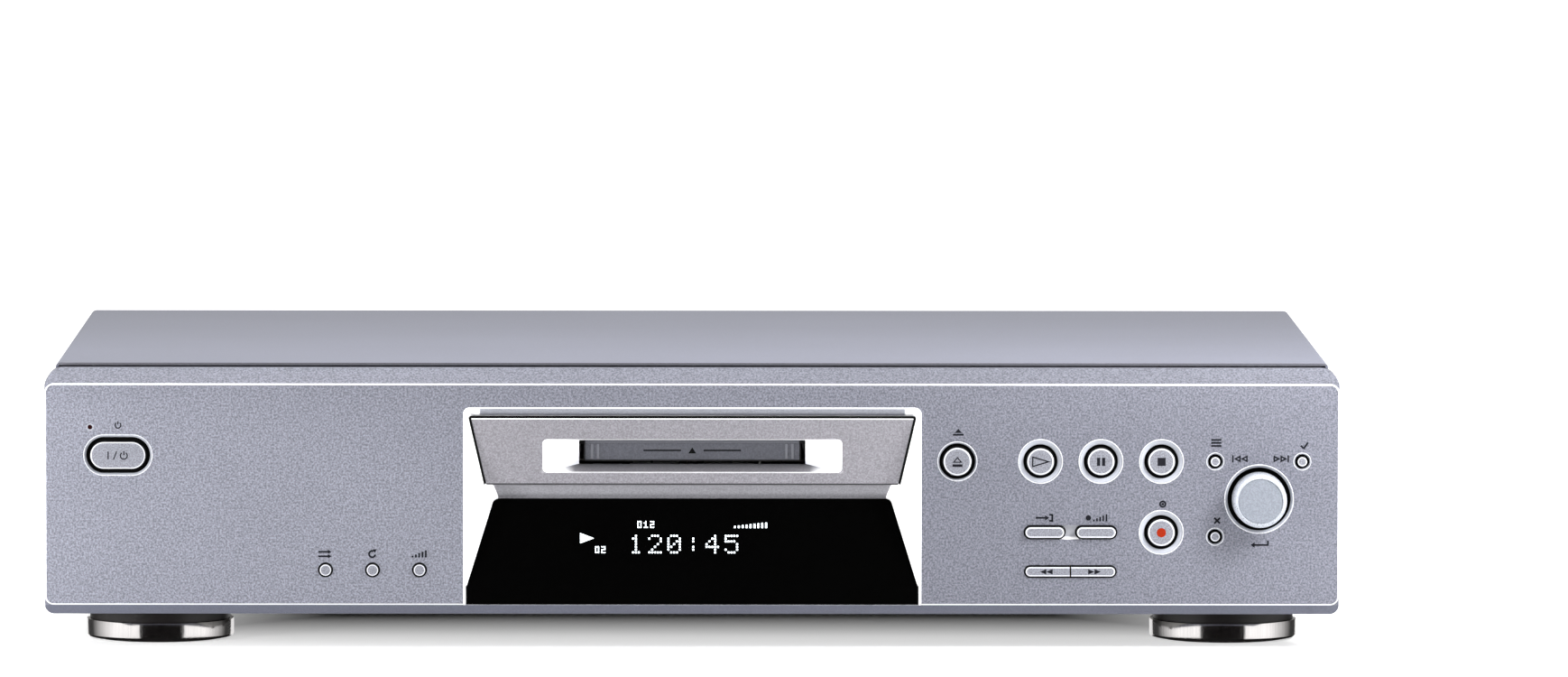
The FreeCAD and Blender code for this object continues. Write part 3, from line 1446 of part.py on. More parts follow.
def tooth_points(teeth, steps=3):
    """One gear tooth as (radius, angle) points about angle zero, between its root and its tip."""
    pitch = gear_module * teeth / 2
    base = pitch * math.cos(pressure_angle)
    tip = pitch + 0.9 * gear_module
    root = pitch - 1.15 * gear_module
    half = (math.pi * gear_module / 2 - gear_backlash / 2) / (2 * pitch)
    lowest = max(base, root) + 1e-4
    flank = []
    for step in range(steps + 1):
        radius = lowest + (tip - lowest) * step / steps
        angle = half + involute(pressure_angle) - involute(math.acos(min(1, base / radius)))
        flank.append((radius, angle))
    foot = [(root, flank[0][1])] if root < lowest - 1e-3 else []
    rising = foot + flank
    falling = [(radius, angle) for radius, angle in reversed(rising)]
    return [(radius, -angle) for radius, angle in rising] + falling


def spur_gear(x, y, teeth, turn, z0, z1):
    """A spur gear with one tooth at the angle turn, in radians."""
    points = []
    for tooth in range(teeth):
        middle = turn + 2 * math.pi * tooth / teeth
        for radius, angle in tooth_points(teeth):
            points.append((x + radius * math.cos(middle + angle), y + radius * math.sin(middle + angle)))
    return flat_prism(points, z0, z1)


def load_rack(z0, z1):
    """The slider's rack: straight-sided teeth that face +X, with a gap level with the gear's axis at rest."""
    pitch = math.pi * gear_module
    half = (pitch / 2 - gear_backlash / 2) / 2
    slope = math.tan(pressure_angle)
    tip = 0.9 * gear_module
    root = 1.15 * gear_module
    points = []
    count = 1 + math.ceil((slider_travel + pitch) / pitch)
    for tooth in range(-1, count):
        middle = gear_y + (tooth + 0.5) * pitch
        at_root = half + root * slope
        at_tip = half - tip * slope
        points += [(rack_line - root, middle - at_root), (rack_line + tip, middle - at_tip),
                   (rack_line + tip, middle + at_tip), (rack_line - root, middle + at_root)]
    points += [(slider_x + slider_sheet / 2, points[-1][1]), (slider_x + slider_sheet / 2, points[0][1])]
    return flat_prism(points, z0, z1)


def slanted_slot(y, z, run, drop, radius, x0, x1):
    """A slot with round ends from (y, z), going run along Y and drop down."""
    length = math.hypot(run, drop)
    across = V(0, drop / length * radius, run / length * radius)
    start = V(x0, y, z)
    end = V(x0, y + run, z - drop)
    middle = prism([start + across, end + across, end - across, start - across], V(x1 - x0, 0, 0))
    ends = [Part.makeCylinder(radius, x1 - x0, place, ALONG_X) for place in (start, end)]
    return joined([middle] + ends)


rods_front = spindle_y + guide_rod_start
rods_back = lens_y + sled_travel + sled_rear + sled_end_gap + rod_block
guide_rod_length = rods_back - rods_front
slider_bar_back = mech_front + slider_travel + 6.5
slider_bar_width = 6.0


def mech_frame():
    """The mechanism's base: plate, guide walls, rod blocks, gear post and the legs down to the pan."""
    plate = block(-mech_half_width, mech_half_width, mech_front, mech_back, mech_floor, mech_top)
    wing = block(mech_half_width - 1, wing_edge, gear_y - 18, motor_y + 12, mech_floor, mech_top)
    wall = block(guide_wall_x, guide_wall_x + mech_sheet, mech_front + 2, holder_back + leg_inset,
                 mech_floor, guide_wall_top)
    notch = block(guide_wall_x - 1, guide_wall_x + mech_sheet + 1, mech_front, slider_bar_back + 1,
                  mech_top, mech_top + 2.2)
    wall = wall.cut(notch)
    for y in cam_pin_places:
        wall = wall.cut(slanted_slot(y, cam_pin_height, 0, holder_drop, cam_pin_radius + cam_clearance,
                                     guide_wall_x - 1, guide_wall_x + mech_sheet + 1))
    legs = []
    front_leg = mech_front + leg_inset
    rear_leg = mech_back - leg_inset - leg_width
    for x, y in ((-mech_half_width, front_leg), (-mech_half_width, rear_leg),
                 (mech_half_width - mech_sheet, front_leg), (mech_half_width - mech_sheet, rear_leg),
                 (wing_edge - mech_sheet, gear_y - leg_width / 2)):
        foot_start = x if x > 0 else x - leg_foot
        legs.append(block(x, x + mech_sheet, y, y + leg_width, pan_top, mech_top))
        legs.append(block(foot_start, foot_start + leg_foot + mech_sheet, y, y + leg_width, pan_top,
                          pan_top + mech_sheet))
    rod_ends = []
    for x in (-guide_rod_x, guide_rod_x):
        for y in (rods_front, rods_back - rod_block):
            rod_ends.append(block(x - rod_block_half_width, x + rod_block_half_width, y, y + rod_block,
                                  mech_floor, guide_rod_height + rod_block_rise))
    gear_post = rod(gear_x, gear_y, mech_floor, ALONG_Z, gear_post_radius,
                    wheel_bottom + wheel_thickness + gear_post_rise - mech_floor)
    frame = joined([plate, wing, wall, mirrored(wall)] + legs + rod_ends + [gear_post])
    holes = [rod(x, rods_front, guide_rod_height, ALONG_Y, guide_rod_radius, guide_rod_length)
             for x in (-guide_rod_x, guide_rod_x)]
    holes.append(rod(gear_x, motor_y, mech_floor - 1, ALONG_Z, motor_shaft_radius + 1.5, mech_sheet + 2))
    holes.append(block(-12, 12, spindle_y + 16, mech_back - 16, mech_floor - 1, mech_top + 1))
    holes.append(rod(0, spindle_y, mech_floor - 1, ALONG_Z, spindle_radius + 1, mech_sheet + 2))
    return frame.cut(holes)


def disc_holder():
    """The bent sheet tray that takes the cartridge in and lowers it on to the turntable."""
    half = holder_half + holder_sheet
    bottom = holder_inside_floor - holder_sheet
    top = holder_inside_roof + holder_sheet
    shell = block(-half, half, holder_front, holder_back, bottom, top)
    inside = block(-holder_half, holder_half, holder_front - 1, holder_back - holder_sheet,
                   holder_inside_floor, holder_inside_roof)
    window = block(-holder_half + holder_lip, holder_half - holder_lip, holder_front - 1, holder_back + 1,
                   bottom - 1, holder_inside_floor + 0.1)
    head_slot = block(-arm_half_width - 3, arm_half_width + 3, spindle_y + 8, holder_back + 1,
                      holder_inside_floor + 0.2, top + 1)
    lightening = [rod(x, y, holder_inside_roof - 0.5, ALONG_Z, 9.0, holder_sheet + 1)
                  for x in (-21.0, 21.0) for y in (spindle_y - 16, spindle_y + 12)]
    shell = shell.cut([inside, window, head_slot] + lightening)
    pin_end = slider_x + slider_sheet + 0.6
    pins = [rod(half - holder_sheet / 2, y, cam_pin_height, ALONG_X, cam_pin_radius,
                pin_end - half + holder_sheet / 2) for y in cam_pin_places]
    return joined([shell] + pins + [mirrored(pin) for pin in pins])


def load_slider():
    """Two cam plates, a cross bar under the tray, and the rack that the loading gear drives."""
    cam_start = cam_pin_places[0] - 4
    cam_end = cam_pin_places[1] + slider_travel + 5
    foot = mech_top + body_gap
    cam = block(slider_x, slider_x + slider_sheet, cam_start, cam_end, foot, cam_pin_height + 4)
    for y in cam_pin_places:
        cam = cam.cut(slanted_slot(y, cam_pin_height, slider_travel, holder_drop,
                                   cam_pin_radius + cam_clearance, slider_x - 1, slider_x + slider_sheet + 1))
    bar_front = slider_bar_back - slider_bar_width
    reach = slider_x + slider_sheet
    bar = block(-reach, reach, bar_front, slider_bar_back, foot, foot + slider_sheet)
    arm = block(slider_x, reach, min(bar_front, cam_start), cam_start + 1, foot, foot + 6)
    rack = load_rack(rack_bottom, rack_bottom + rack_thickness)
    return joined([cam, mirrored(cam), arm, mirrored(arm), bar, rack])


def load_gear():
    """The compound loading gear: a large wheel over the small gear that is in mesh with the rack."""
    small = spur_gear(gear_x, gear_y, load_small_teeth, math.pi, rack_bottom, wheel_bottom)
    wheel = spur_gear(gear_x, gear_y, load_wheel_teeth, math.pi / 2, wheel_bottom,
                      wheel_bottom + wheel_thickness)
    bore = rod(gear_x, gear_y, mech_top, ALONG_Z, gear_post_radius + running_clearance, 20)
    return joined([small, wheel]).cut(bore)


def load_pinion():
    """The loading motor's pinion on its shaft."""
    gap_turn = -math.pi / 2 + math.pi / motor_gear_teeth
    pinion = spur_gear(gear_x, motor_y, motor_gear_teeth, gap_turn, wheel_bottom - 0.4,
                       wheel_bottom + wheel_thickness + 0.8)
    shaft = rod(gear_x, motor_y, mech_floor - motor_shaft_depth, ALONG_Z, motor_shaft_radius,
                motor_shaft_depth + wheel_bottom - mech_floor + wheel_thickness / 2)
    return joined([pinion, shaft])


sled_motor_front = rods_back - rod_block / 2


def drive_motors():
    """The loading motor under the base plate and the small sled motor behind the lead screw."""
    bottom = mech_floor - load_motor_length
    can = rod(gear_x, motor_y, bottom, ALONG_Z, load_motor_radius, load_motor_length)
    flat_sides = block(gear_x - load_motor_radius, gear_x + load_motor_radius, motor_y - load_motor_flat,
                       motor_y + load_motor_flat, bottom, mech_floor)
    cap = rod(gear_x, motor_y, bottom - motor_cap_height, ALONG_Z, motor_cap_radius, 2 * motor_cap_height)
    shaft_hole = rod(gear_x, motor_y, mech_floor - motor_shaft_depth - body_gap, ALONG_Z,
                     motor_shaft_radius + running_clearance, motor_shaft_depth + 1)
    loading = joined([can.common(flat_sides), cap]).cut(shaft_hole)
    sled = rod(screw_x, sled_motor_front, guide_rod_height, ALONG_Y, sled_motor_radius, sled_motor_length)
    screw_hole = rod(screw_x, sled_motor_front - 1, guide_rod_height, ALONG_Y,
                     screw_radius + running_clearance, screw_end_in_motor + body_gap + 1)
    base = block(screw_x - 3, screw_x + 3, sled_motor_front + 1, sled_motor_front + sled_motor_length - 1,
                 mech_top, guide_rod_height)
    return [loading, joined([sled, base]).cut(screw_hole)]


def guide_rods():
    return [rod(x, rods_front, guide_rod_height, ALONG_Y, guide_rod_radius, guide_rod_length)
            for x in (-guide_rod_x, guide_rod_x)]


def sled_screw():
    """The lead screw that moves the pickup: a plain rod with a worm-like collar at its free end."""
    start = spindle_y + screw_start
    shaft = rod(screw_x, start, guide_rod_height, ALONG_Y, screw_radius,
                sled_motor_front + screw_end_in_motor - start)
    collar = rod(screw_x, start, guide_rod_height, ALONG_Y, screw_radius + screw_collar, screw_collar_length)
    return joined([shaft, collar])


def optical_pickup():
    """The laser sled on its rods, with the lens, the nut on the lead screw and the post of the head arm."""
    front = lens_y - sled_front
    rear = lens_y + sled_rear
    body = block(-sled_half_width, sled_half_width, front, rear, sled_bottom, sled_top)
    body = softened(body, 2.0, lambda edge: edge.BoundBox.ZLength > 4)
    nut = block(sled_half_width - 2, screw_x + 3, lens_y + 2, rear - 2, sled_bottom + 0.4, sled_top - 0.8)
    lens = upright_turned([(0, sled_top - 1), (lens_radius + 1.6, sled_top - 1),
                           (lens_radius + 1.6, sled_top + 0.3), (lens_radius, sled_top + 0.3),
                           (lens_radius * 0.7, lens_top), (0, lens_top)], 0, lens_y)
    inner = arm_half_width + arm_ear_gap
    outer = inner + arm_ear_thickness
    tongue = block(-outer, outer, rear - 1, arm_pivot_y + 2, sled_bottom + 0.4, sled_bottom + 3)
    post = block(-outer, outer, arm_pivot_y + 0.6, arm_pivot_y + 2, sled_bottom + 0.4, arm_pivot_height - 3)
    ear = block(inner, outer, arm_pivot_y - 2, arm_pivot_y + 2, arm_pivot_height - 6, arm_pivot_height + 2)
    sled = joined([body, nut, lens, tongue, post, ear, mirrored(ear)])
    length = sled_front + sled_rear + 2
    bores = [rod(x, front - 1, guide_rod_height, ALONG_Y, guide_rod_radius + running_clearance, length)
             for x in (-guide_rod_x, guide_rod_x)]
    bores.append(rod(screw_x, front - 1, guide_rod_height, ALONG_Y, screw_radius + running_clearance, length))
    bores.append(rod(-outer - 1, arm_pivot_y, arm_pivot_height, ALONG_X, arm_pin_radius + running_clearance,
                     2 * outer + 2))
    return sled.cut(bores)


def record_head():
    """The magnetic head on its thin arm, which swings down on to the disc from above."""
    arm_bottom = arm_pivot_height - arm_thickness / 2
    arm = block(-arm_half_width, arm_half_width, lens_y, arm_pivot_y, arm_bottom, arm_bottom + arm_thickness)
    head = block(-arm_half_width, arm_half_width, lens_y - 2.5, lens_y + 2.5, arm_bottom - head_depth,
                 arm_bottom + arm_thickness)
    barrel = rod(-arm_half_width, arm_pivot_y, arm_pivot_height, ALONG_X, arm_barrel_radius,
                 2 * arm_half_width)
    reach = arm_half_width + arm_ear_gap + arm_ear_thickness
    pin = rod(-reach, arm_pivot_y, arm_pivot_height, ALONG_X, arm_pin_radius, 2 * reach)
    return joined([arm, head, barrel, pin])


def spindle_motor():
    """The flat motor that spins the disc: a round base with the bearing tube in its middle."""
    base = rod(0, spindle_y, mech_top, ALONG_Z, stator_radius, stator_height * 0.5)
    tube = rod(0, spindle_y, mech_top, ALONG_Z, bearing_radius, stator_height)
    bore = rod(0, spindle_y, mech_top + mech_sheet / 2, ALONG_Z, spindle_radius + running_clearance,
               2 * stator_height)
    coil = rod(stator_radius * 0.66, spindle_y, mech_top, ALONG_Z, stator_coil_radius, stator_height * 0.8)
    coils = []
    for turn in range(0, 360, 360 // stator_coil_count):
        turned_coil = coil.copy()
        turned_coil.rotate(V(0, spindle_y, 0), ALONG_Z, turn)
        coils.append(turned_coil)
    return joined([base, tube] + coils).cut(bore)


def turntable():
    """The spindle with its rotor, the table that the disc's hub clamps on, and the centring nose."""
    bottom = mech_top + stator_height + 0.3
    top = bottom + turntable_height
    rim = turntable_radius + rotor_rim
    seat = turntable_top - nose_height
    body = upright_turned([(0, bottom), (rim, bottom), (rim, bottom + rotor_rim_height),
                           (turntable_radius, bottom + rotor_rim_height), (turntable_radius, top),
                           (turntable_hub_radius, top), (turntable_hub_radius, seat), (nose_radius, seat),
                           (nose_tip_radius, turntable_top), (0, turntable_top)], 0, spindle_y)
    shaft = rod(0, spindle_y, mech_top + mech_sheet, ALONG_Z, spindle_radius, stator_height)
    return joined([body, shaft])


# --------------------------------------------------------------------------------------------------
# Feet and screws
# --------------------------------------------------------------------------------------------------
def foot_body(x, y):
    """A front foot: its skirt stands inside the bright ring, and its recess takes the screw."""
    seat = foot_pad_thickness + foot_web
    recess = screw_head_radius + foot_recess_gap
    inside_ring = foot_body_radius - foot_ring_wall
    ring_top = foot_lift + foot_ring_height
    return upright_turned([
        (screw_shank_radius + sheet_gap, seat), (recess, seat), (recess, foot_pad_thickness),
        (inside_ring, foot_pad_thickness), (inside_ring, ring_top), (foot_body_radius, ring_top),
        (foot_body_radius, pan_bottom - foot_shoulder), (foot_hollow_radius, pan_bottom),
        (screw_shank_radius + sheet_gap, pan_bottom),
    ], x, y)


def foot_ring(x, y):
    """The bright ring round a front foot, slightly rounded at its lower edge."""
    inner = foot_body_radius - foot_ring_wall + sheet_gap
    top = foot_lift + foot_ring_height - sheet_gap
    return upright_turned([
        (inner, foot_lift + 0.6), (foot_ring_radius - 1.2, foot_lift),
        (foot_ring_radius - 0.3, foot_lift + 0.35), (foot_ring_radius, foot_lift + 1.1),
        (foot_ring_radius, top - 0.4), (foot_ring_radius - 0.3, top), (inner, top),
    ], x, y)


def rear_foot(x, y):
    """A plain moulded foot of the same height, without a ring, narrowing a little towards its pad."""
    seat = foot_pad_thickness + foot_web
    recess = screw_head_radius + foot_recess_gap
    return upright_turned([
        (screw_shank_radius + sheet_gap, seat), (recess, seat), (recess, foot_pad_thickness),
        (foot_body_radius - foot_shoulder, foot_pad_thickness),
        (foot_body_radius, pan_bottom - foot_shoulder), (foot_hollow_radius, pan_bottom),
        (screw_shank_radius + sheet_gap, pan_bottom),
    ], x, y)


def foot_pad(x, y):
    """The soft ring under a foot that the deck stands on."""
    pad = rod(x, y, 0, ALONG_Z, foot_pad_radius, foot_pad_thickness)
    return pad.cut(rod(x, y, 0, ALONG_Z, screw_head_radius + foot_recess_gap, foot_pad_thickness))


def screw(x, y, z, direction, length, bevel):
    """A screw seated at (x, y, z), with its shank along direction and a bevel round its head."""
    profile = [(0, -screw_head_height), (screw_head_radius - bevel, -screw_head_height),
               (screw_head_radius, -screw_head_height + bevel), (screw_head_radius, 0),
               (screw_shank_radius, 0), (screw_shank_radius, length), (0, length)]
    if bevel == 0:
        profile.pop(1)
    points = [V(radius, 0, along) for radius, along in profile]
    body = Part.Face(Part.makePolygon(points + points[:1])).revolve(V(0, 0, 0), ALONG_Z, 360)
    body.Placement = FreeCAD.Placement(V(x, y, z), FreeCAD.Rotation(ALONG_Z, direction))
    return body


def cover_screws():
    screws = []
    for y in side_screw_places:
        for side in (-1, 1):
            screws.append(screw(side * cover_half, y, cover_screw_height, ALONG_X * -side, cover_screw_length,
                                screw_head_bevel))
    screws += [screw(x, back_y, rear_screw_height, ALONG_Y * -1, rear_screw_length, screw_head_bevel)
               for x in rear_screw_places]
    return screws


def inner_screws():
    """The plain screws that hold the feet to the pan and the boards to their posts."""
    seat = foot_pad_thickness + foot_web
    screws = [screw(x, y, seat, ALONG_Z, pan_top + foot_screw_grip - seat, 0) for x, y in foot_places]
    screws += [screw(x, y, board_top, ALONG_Z * -1, board_screw_length, 0) for x, y in board_posts]
    return screws


# --------------------------------------------------------------------------------------------------
# Every piece in its own file
# --------------------------------------------------------------------------------------------------
def main():
    os.makedirs("parts", exist_ok=True)
    write("top_cover", top_cover())
    write("chassis_pan", chassis_pan())
    write("rear_panel", rear_panel())
    write("front_panel", front_panel())
    write("centre_recess", centre_recess())
    write("loading_panel", loading_panel())
    write("display_window", display_window())
    write("slot_flap", slot_flap())
    for name, (x, z, radius, bevel) in round_keys.items():
        write(name, round_key(x, z, radius, bevel))
    write("input_button", long_key(input_x, record_row, pill_width, pill_height, pill_bevel, small_key_proud))
    write("record_mode_button",
          long_key(record_mode_x, record_row, pill_width, pill_height, pill_bevel, small_key_proud))
    write("power_button", long_key(power_x, power_row, power_width, power_height, power_bevel, key_proud))
    write("rewind_button", shuttle_key(-1))
    write("forward_button", shuttle_key(1))
    write("trim_rings", *trim_rings())
    write("jog_knob", jog_knob())
    write("jog_shaft", jog_shaft())
    write("jog_encoder", jog_encoder())
    write("encoder_plunger", encoder_plunger())
    write("key_boards", *key_boards())
    write("tact_switches", *tact_switches())
    write("display_tube", display_tube())
    write("display_board", display_board())
    write("standby_lamp", standby_lamp())
    write("circuit_boards", *circuit_boards())
    write("board_parts", *board_parts())
    write("transformer_core", transformer_core())
    write("transformer_coil", transformer_coil())
    write("phono_jacks", phono_jacks())
    write("optical_jacks", *optical_jacks())
    write("ac_inlet", ac_inlet())
    write("ribbon_cables", *ribbon_cables())
    write("mech_frame", mech_frame())
    write("disc_holder", disc_holder())
    write("load_slider", load_slider())
    write("load_gear", load_gear())
    write("load_pinion", load_pinion())
    write("drive_motors", *drive_motors())
    write("spindle_motor", spindle_motor())
    write("turntable", turntable())
    write("guide_rods", *guide_rods())
    write("sled_screw", sled_screw())
    write("optical_pickup", optical_pickup())
    write("record_head", record_head())
    write("front_feet", *[foot_body(x, y) for x, y in foot_places[:2]])
    write("foot_rings", *[foot_ring(x, y) for x, y in foot_places[:2]])
    write("rear_feet", *[rear_foot(x, y) for x, y in foot_places[2:]])
    write("foot_pads", *[foot_pad(x, y) for x, y in foot_places])
    write("cover_screws", *cover_screws())
    write("inner_screws", *inner_screws())


main()
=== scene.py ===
# %% [markdown]
# # Dressing a minidisc deck
# The deck's solids come from its CAD source and stay where they are. This lesson gives them their
# finishes, swaps the round trim, the keys and the knob for finer turned pieces, prints the symbols,
# and lights the display. Sizes are in metres, and `mm` turns a drawing's millimetres into them.

# %% Load the deck's frame
import json
import math

import bmesh
import bpy
from mathutils import Matrix, Vector


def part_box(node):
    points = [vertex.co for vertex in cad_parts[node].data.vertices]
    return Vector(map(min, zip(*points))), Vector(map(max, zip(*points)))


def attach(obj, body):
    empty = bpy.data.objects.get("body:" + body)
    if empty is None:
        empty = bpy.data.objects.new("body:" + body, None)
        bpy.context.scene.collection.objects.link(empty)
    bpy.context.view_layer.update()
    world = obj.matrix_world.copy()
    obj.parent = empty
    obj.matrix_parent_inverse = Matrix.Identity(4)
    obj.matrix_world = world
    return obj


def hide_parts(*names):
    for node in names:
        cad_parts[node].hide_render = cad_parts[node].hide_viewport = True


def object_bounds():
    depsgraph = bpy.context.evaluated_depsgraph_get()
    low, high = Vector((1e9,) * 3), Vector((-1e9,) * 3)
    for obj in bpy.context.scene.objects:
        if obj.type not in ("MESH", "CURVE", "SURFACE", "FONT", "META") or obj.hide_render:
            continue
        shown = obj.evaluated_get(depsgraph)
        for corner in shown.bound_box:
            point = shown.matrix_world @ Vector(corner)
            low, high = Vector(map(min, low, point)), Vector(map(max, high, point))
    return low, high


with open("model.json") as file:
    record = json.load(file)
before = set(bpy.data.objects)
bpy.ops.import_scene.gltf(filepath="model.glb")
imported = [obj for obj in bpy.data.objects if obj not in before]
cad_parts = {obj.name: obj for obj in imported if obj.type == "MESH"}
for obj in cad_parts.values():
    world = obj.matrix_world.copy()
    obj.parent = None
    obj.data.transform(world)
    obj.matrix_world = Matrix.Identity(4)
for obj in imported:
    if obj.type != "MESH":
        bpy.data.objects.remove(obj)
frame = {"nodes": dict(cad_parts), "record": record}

cad_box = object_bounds()
mm = 0.001
nodes = frame["nodes"]
scene = bpy.context.scene
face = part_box("front_panel")[0].y  # the plane of the front face; the person in front is on the minus side
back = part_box("top_cover")[1].y
print("nodes", len(nodes), "face at", round(face, 4), "back at", round(back, 4))

# %% [markdown]
# ## The camera
# A hi-fi deck is shown from far away with a long lens, a little from above, so that its front stays
# almost square and its cover becomes a thin slanted band. A nearer camera with a shorter lens would
# give the same width but a much deeper cover.

# %% Set up the camera
SENSOR_WIDTH, FOCAL_LENGTH = 36, 274.5  # mm
CAMERA_PLACE = (-0.012, -4.089, 0.3845)
CAMERA_DOWN, CAMERA_ROLL, CAMERA_RIGHT = 4.054, -0.09, 0.607  # degrees
VIEW_END = 200

lens = bpy.data.cameras.new("front_camera")
lens.sensor_width = SENSOR_WIDTH
lens.lens = FOCAL_LENGTH
lens.clip_end = VIEW_END
camera = bpy.data.objects.new("front_camera", lens)
camera.location = CAMERA_PLACE
camera.rotation_euler = [math.radians(turn) for turn in (90 - CAMERA_DOWN, CAMERA_ROLL, -CAMERA_RIGHT)]
scene.collection.objects.link(camera)
scene.camera = camera
print("camera at", tuple(camera.location))

# %% [markdown]
# ## The studio's light
# A white surrounding light, large soft lamps overhead and in front, a strip over the front of the
# cover, and two small lamps near the two ends of the front. A lamp this near fades quickly with
# distance, and that gives the long flat faces their slow change of tone. Only the overhead lamp shows
# in polished parts; the others light the deck without being mirrored in it. The plain view transform
# keeps the white floor white, where the filmic one would turn it grey.

# %% Hang the lamps
AIR_STRENGTH = 0.85

scene.view_settings.view_transform = "Standard"
scene.view_settings.look = "None"

world = bpy.data.worlds.new("studio_air")
scene.world = world
world.use_nodes = True
air = world.node_tree.nodes["Background"]
air.inputs["Color"].default_value = (1.0, 1.0, 1.0, 1)
air.inputs["Strength"].default_value = AIR_STRENGTH


def soft_lamp(name, place, target, width, height, power, mirrored=False):
    """An area lamp at a place, facing its target. Polished parts show it only if it is mirrored."""
    lamp = bpy.data.lights.new(name, "AREA")
    lamp.shape = "RECTANGLE"
    lamp.size, lamp.size_y = width, height
    lamp.energy = power
    holder = bpy.data.objects.new(name, lamp)
    holder.location = place
    aim = Vector(target) - Vector(place)
    holder.rotation_euler = aim.to_track_quat("-Z", "Y").to_euler()
    holder.visible_camera = False
    holder.visible_glossy = mirrored
    scene.collection.objects.link(holder)


soft_lamp("overhead_softbox", (-0.2, 0.1, 1.8), (0, 0, 0.03), 2.2, 1.2, 3.5, mirrored=True)
soft_lamp("front_softbox", (-0.1, -1.7, 0.30), (0, -0.13, 0.05), 1.6, 0.3, 9)
soft_lamp("cover_strip", (0, -0.1, 0.29), (0, -0.1, 0.09), 0.75, 0.04, 1.5)
soft_lamp("left_lamp", (-0.42, -0.36, 0.05), (-0.2, -0.13, 0.05), 0.08, 0.16, 2.3)
soft_lamp("right_lamp", (0.36, -0.3, 0.24), (0.2, -0.13, 0.08), 0.08, 0.16, 2.7)

# %% [markdown]
# ## Nodes and tones
# Every finish is a small tree of nodes. Image textures would need files and fixed sizes, while noise
# is sharp at every distance and never repeats, so all patterns here are noise read in object
# coordinates. These first helpers only add nodes and join them up. Most of a noise's values lie
# between 0.3 and 0.7, so a colour or a number is picked from that stretch unless told otherwise.

# %% Helpers for nodes


def grey(level):
    """A tone without colour."""
    return (level,) * 3


def shade(tone, factor):
    """A tone made darker or lighter."""
    return tuple(min(1.0, part * factor) for part in tone)


class Nodes:
    """A material's node tree, with short ways to add to it."""

    def node(self, kind, **settings):
        made = self.tree.nodes.new(kind)
        for name, value in settings.items():
            setattr(made, name, value)
        return made

    def link(self, out, into):
        self.tree.links.new(out, into)

    def grain(self, size, detail=2.0, stretch=(1, 1, 1)):
        """Noise with lumps of about that size, drawn out along the axes with a small stretch."""
        mapping = self.node("ShaderNodeMapping")
        mapping.inputs["Scale"].default_value = [s / size for s in stretch]
        noise = self.node("ShaderNodeTexNoise")
        noise.inputs["Scale"].default_value = 1.0
        noise.inputs["Detail"].default_value = detail
        self.link(self.place, mapping.inputs["Vector"])
        self.link(mapping.outputs["Vector"], noise.inputs["Vector"])
        return noise.outputs["Fac"]

    def tones(self, value, dark, light, low=0.3, high=0.7):
        """A colour between two tones, picked by a value."""
        ramp = self.node("ShaderNodeValToRGB")
        first, last = ramp.color_ramp.elements
        first.position, first.color = low, (*dark, 1)
        last.position, last.color = high, (*light, 1)
        self.link(value, ramp.inputs["Fac"])
        return ramp.outputs["Color"]

    def varied(self, value, tone, contrast, low=0.3, high=0.7):
        """One tone, made darker or lighter by a value."""
        return self.tones(value, shade(tone, 1 - contrast), shade(tone, 1 + contrast), low, high)

    def level(self, value, low, high, start=0.3, end=0.7):
        """A number between two levels, picked by a value."""
        scale = self.node("ShaderNodeMapRange")
        scale.inputs["From Min"].default_value = start
        scale.inputs["From Max"].default_value = end
        scale.inputs["To Min"].default_value = low
        scale.inputs["To Max"].default_value = high
        self.link(value, scale.inputs["Value"])
        return scale.outputs["Result"]

    def over(self, lower, upper, share, kind):
        """One colour laid over another, by a number or a mask."""
        mix = self.node("ShaderNodeMix", data_type="RGBA", blend_type=kind)
        if isinstance(share, float):
            mix.inputs["Factor"].default_value = share
        else:
            self.link(share, mix.inputs["Factor"])
        self.link(lower, mix.inputs["A"])
        self.link(upper, mix.inputs["B"])
        return mix.outputs["Result"]

    def compute(self, kind, *values):
        """Arithmetic on values: ADD, MULTIPLY, MAXIMUM, ABSOLUTE and so on."""
        step = self.node("ShaderNodeMath", operation=kind)
        for socket, value in zip(step.inputs, values):
            if isinstance(value, (int, float)):
                socket.default_value = value
            else:
                self.link(value, socket)
        return step.outputs["Value"]


print("ways to add nodes", [way for way in vars(Nodes) if not way.startswith("_")])

# %% [markdown]
# ## What every finish can do
# Grain changes the colour a little, the gloss a little, and dents the surface through a bump. A mask
# is a value that is 1 in one part of a piece and 0 elsewhere, so that one mesh can carry two finishes
# without being cut. Most masks here are zones: limits in mm on how far a point lies across the deck,
# to either side of its middle, behind the front face, and up. A finish may be given more measures.

# %% Helpers for finishes
START = -1  # mm; a lower limit below every measure, for a zone without a lower edge
TRIM_GRAIN = 0.6 * mm


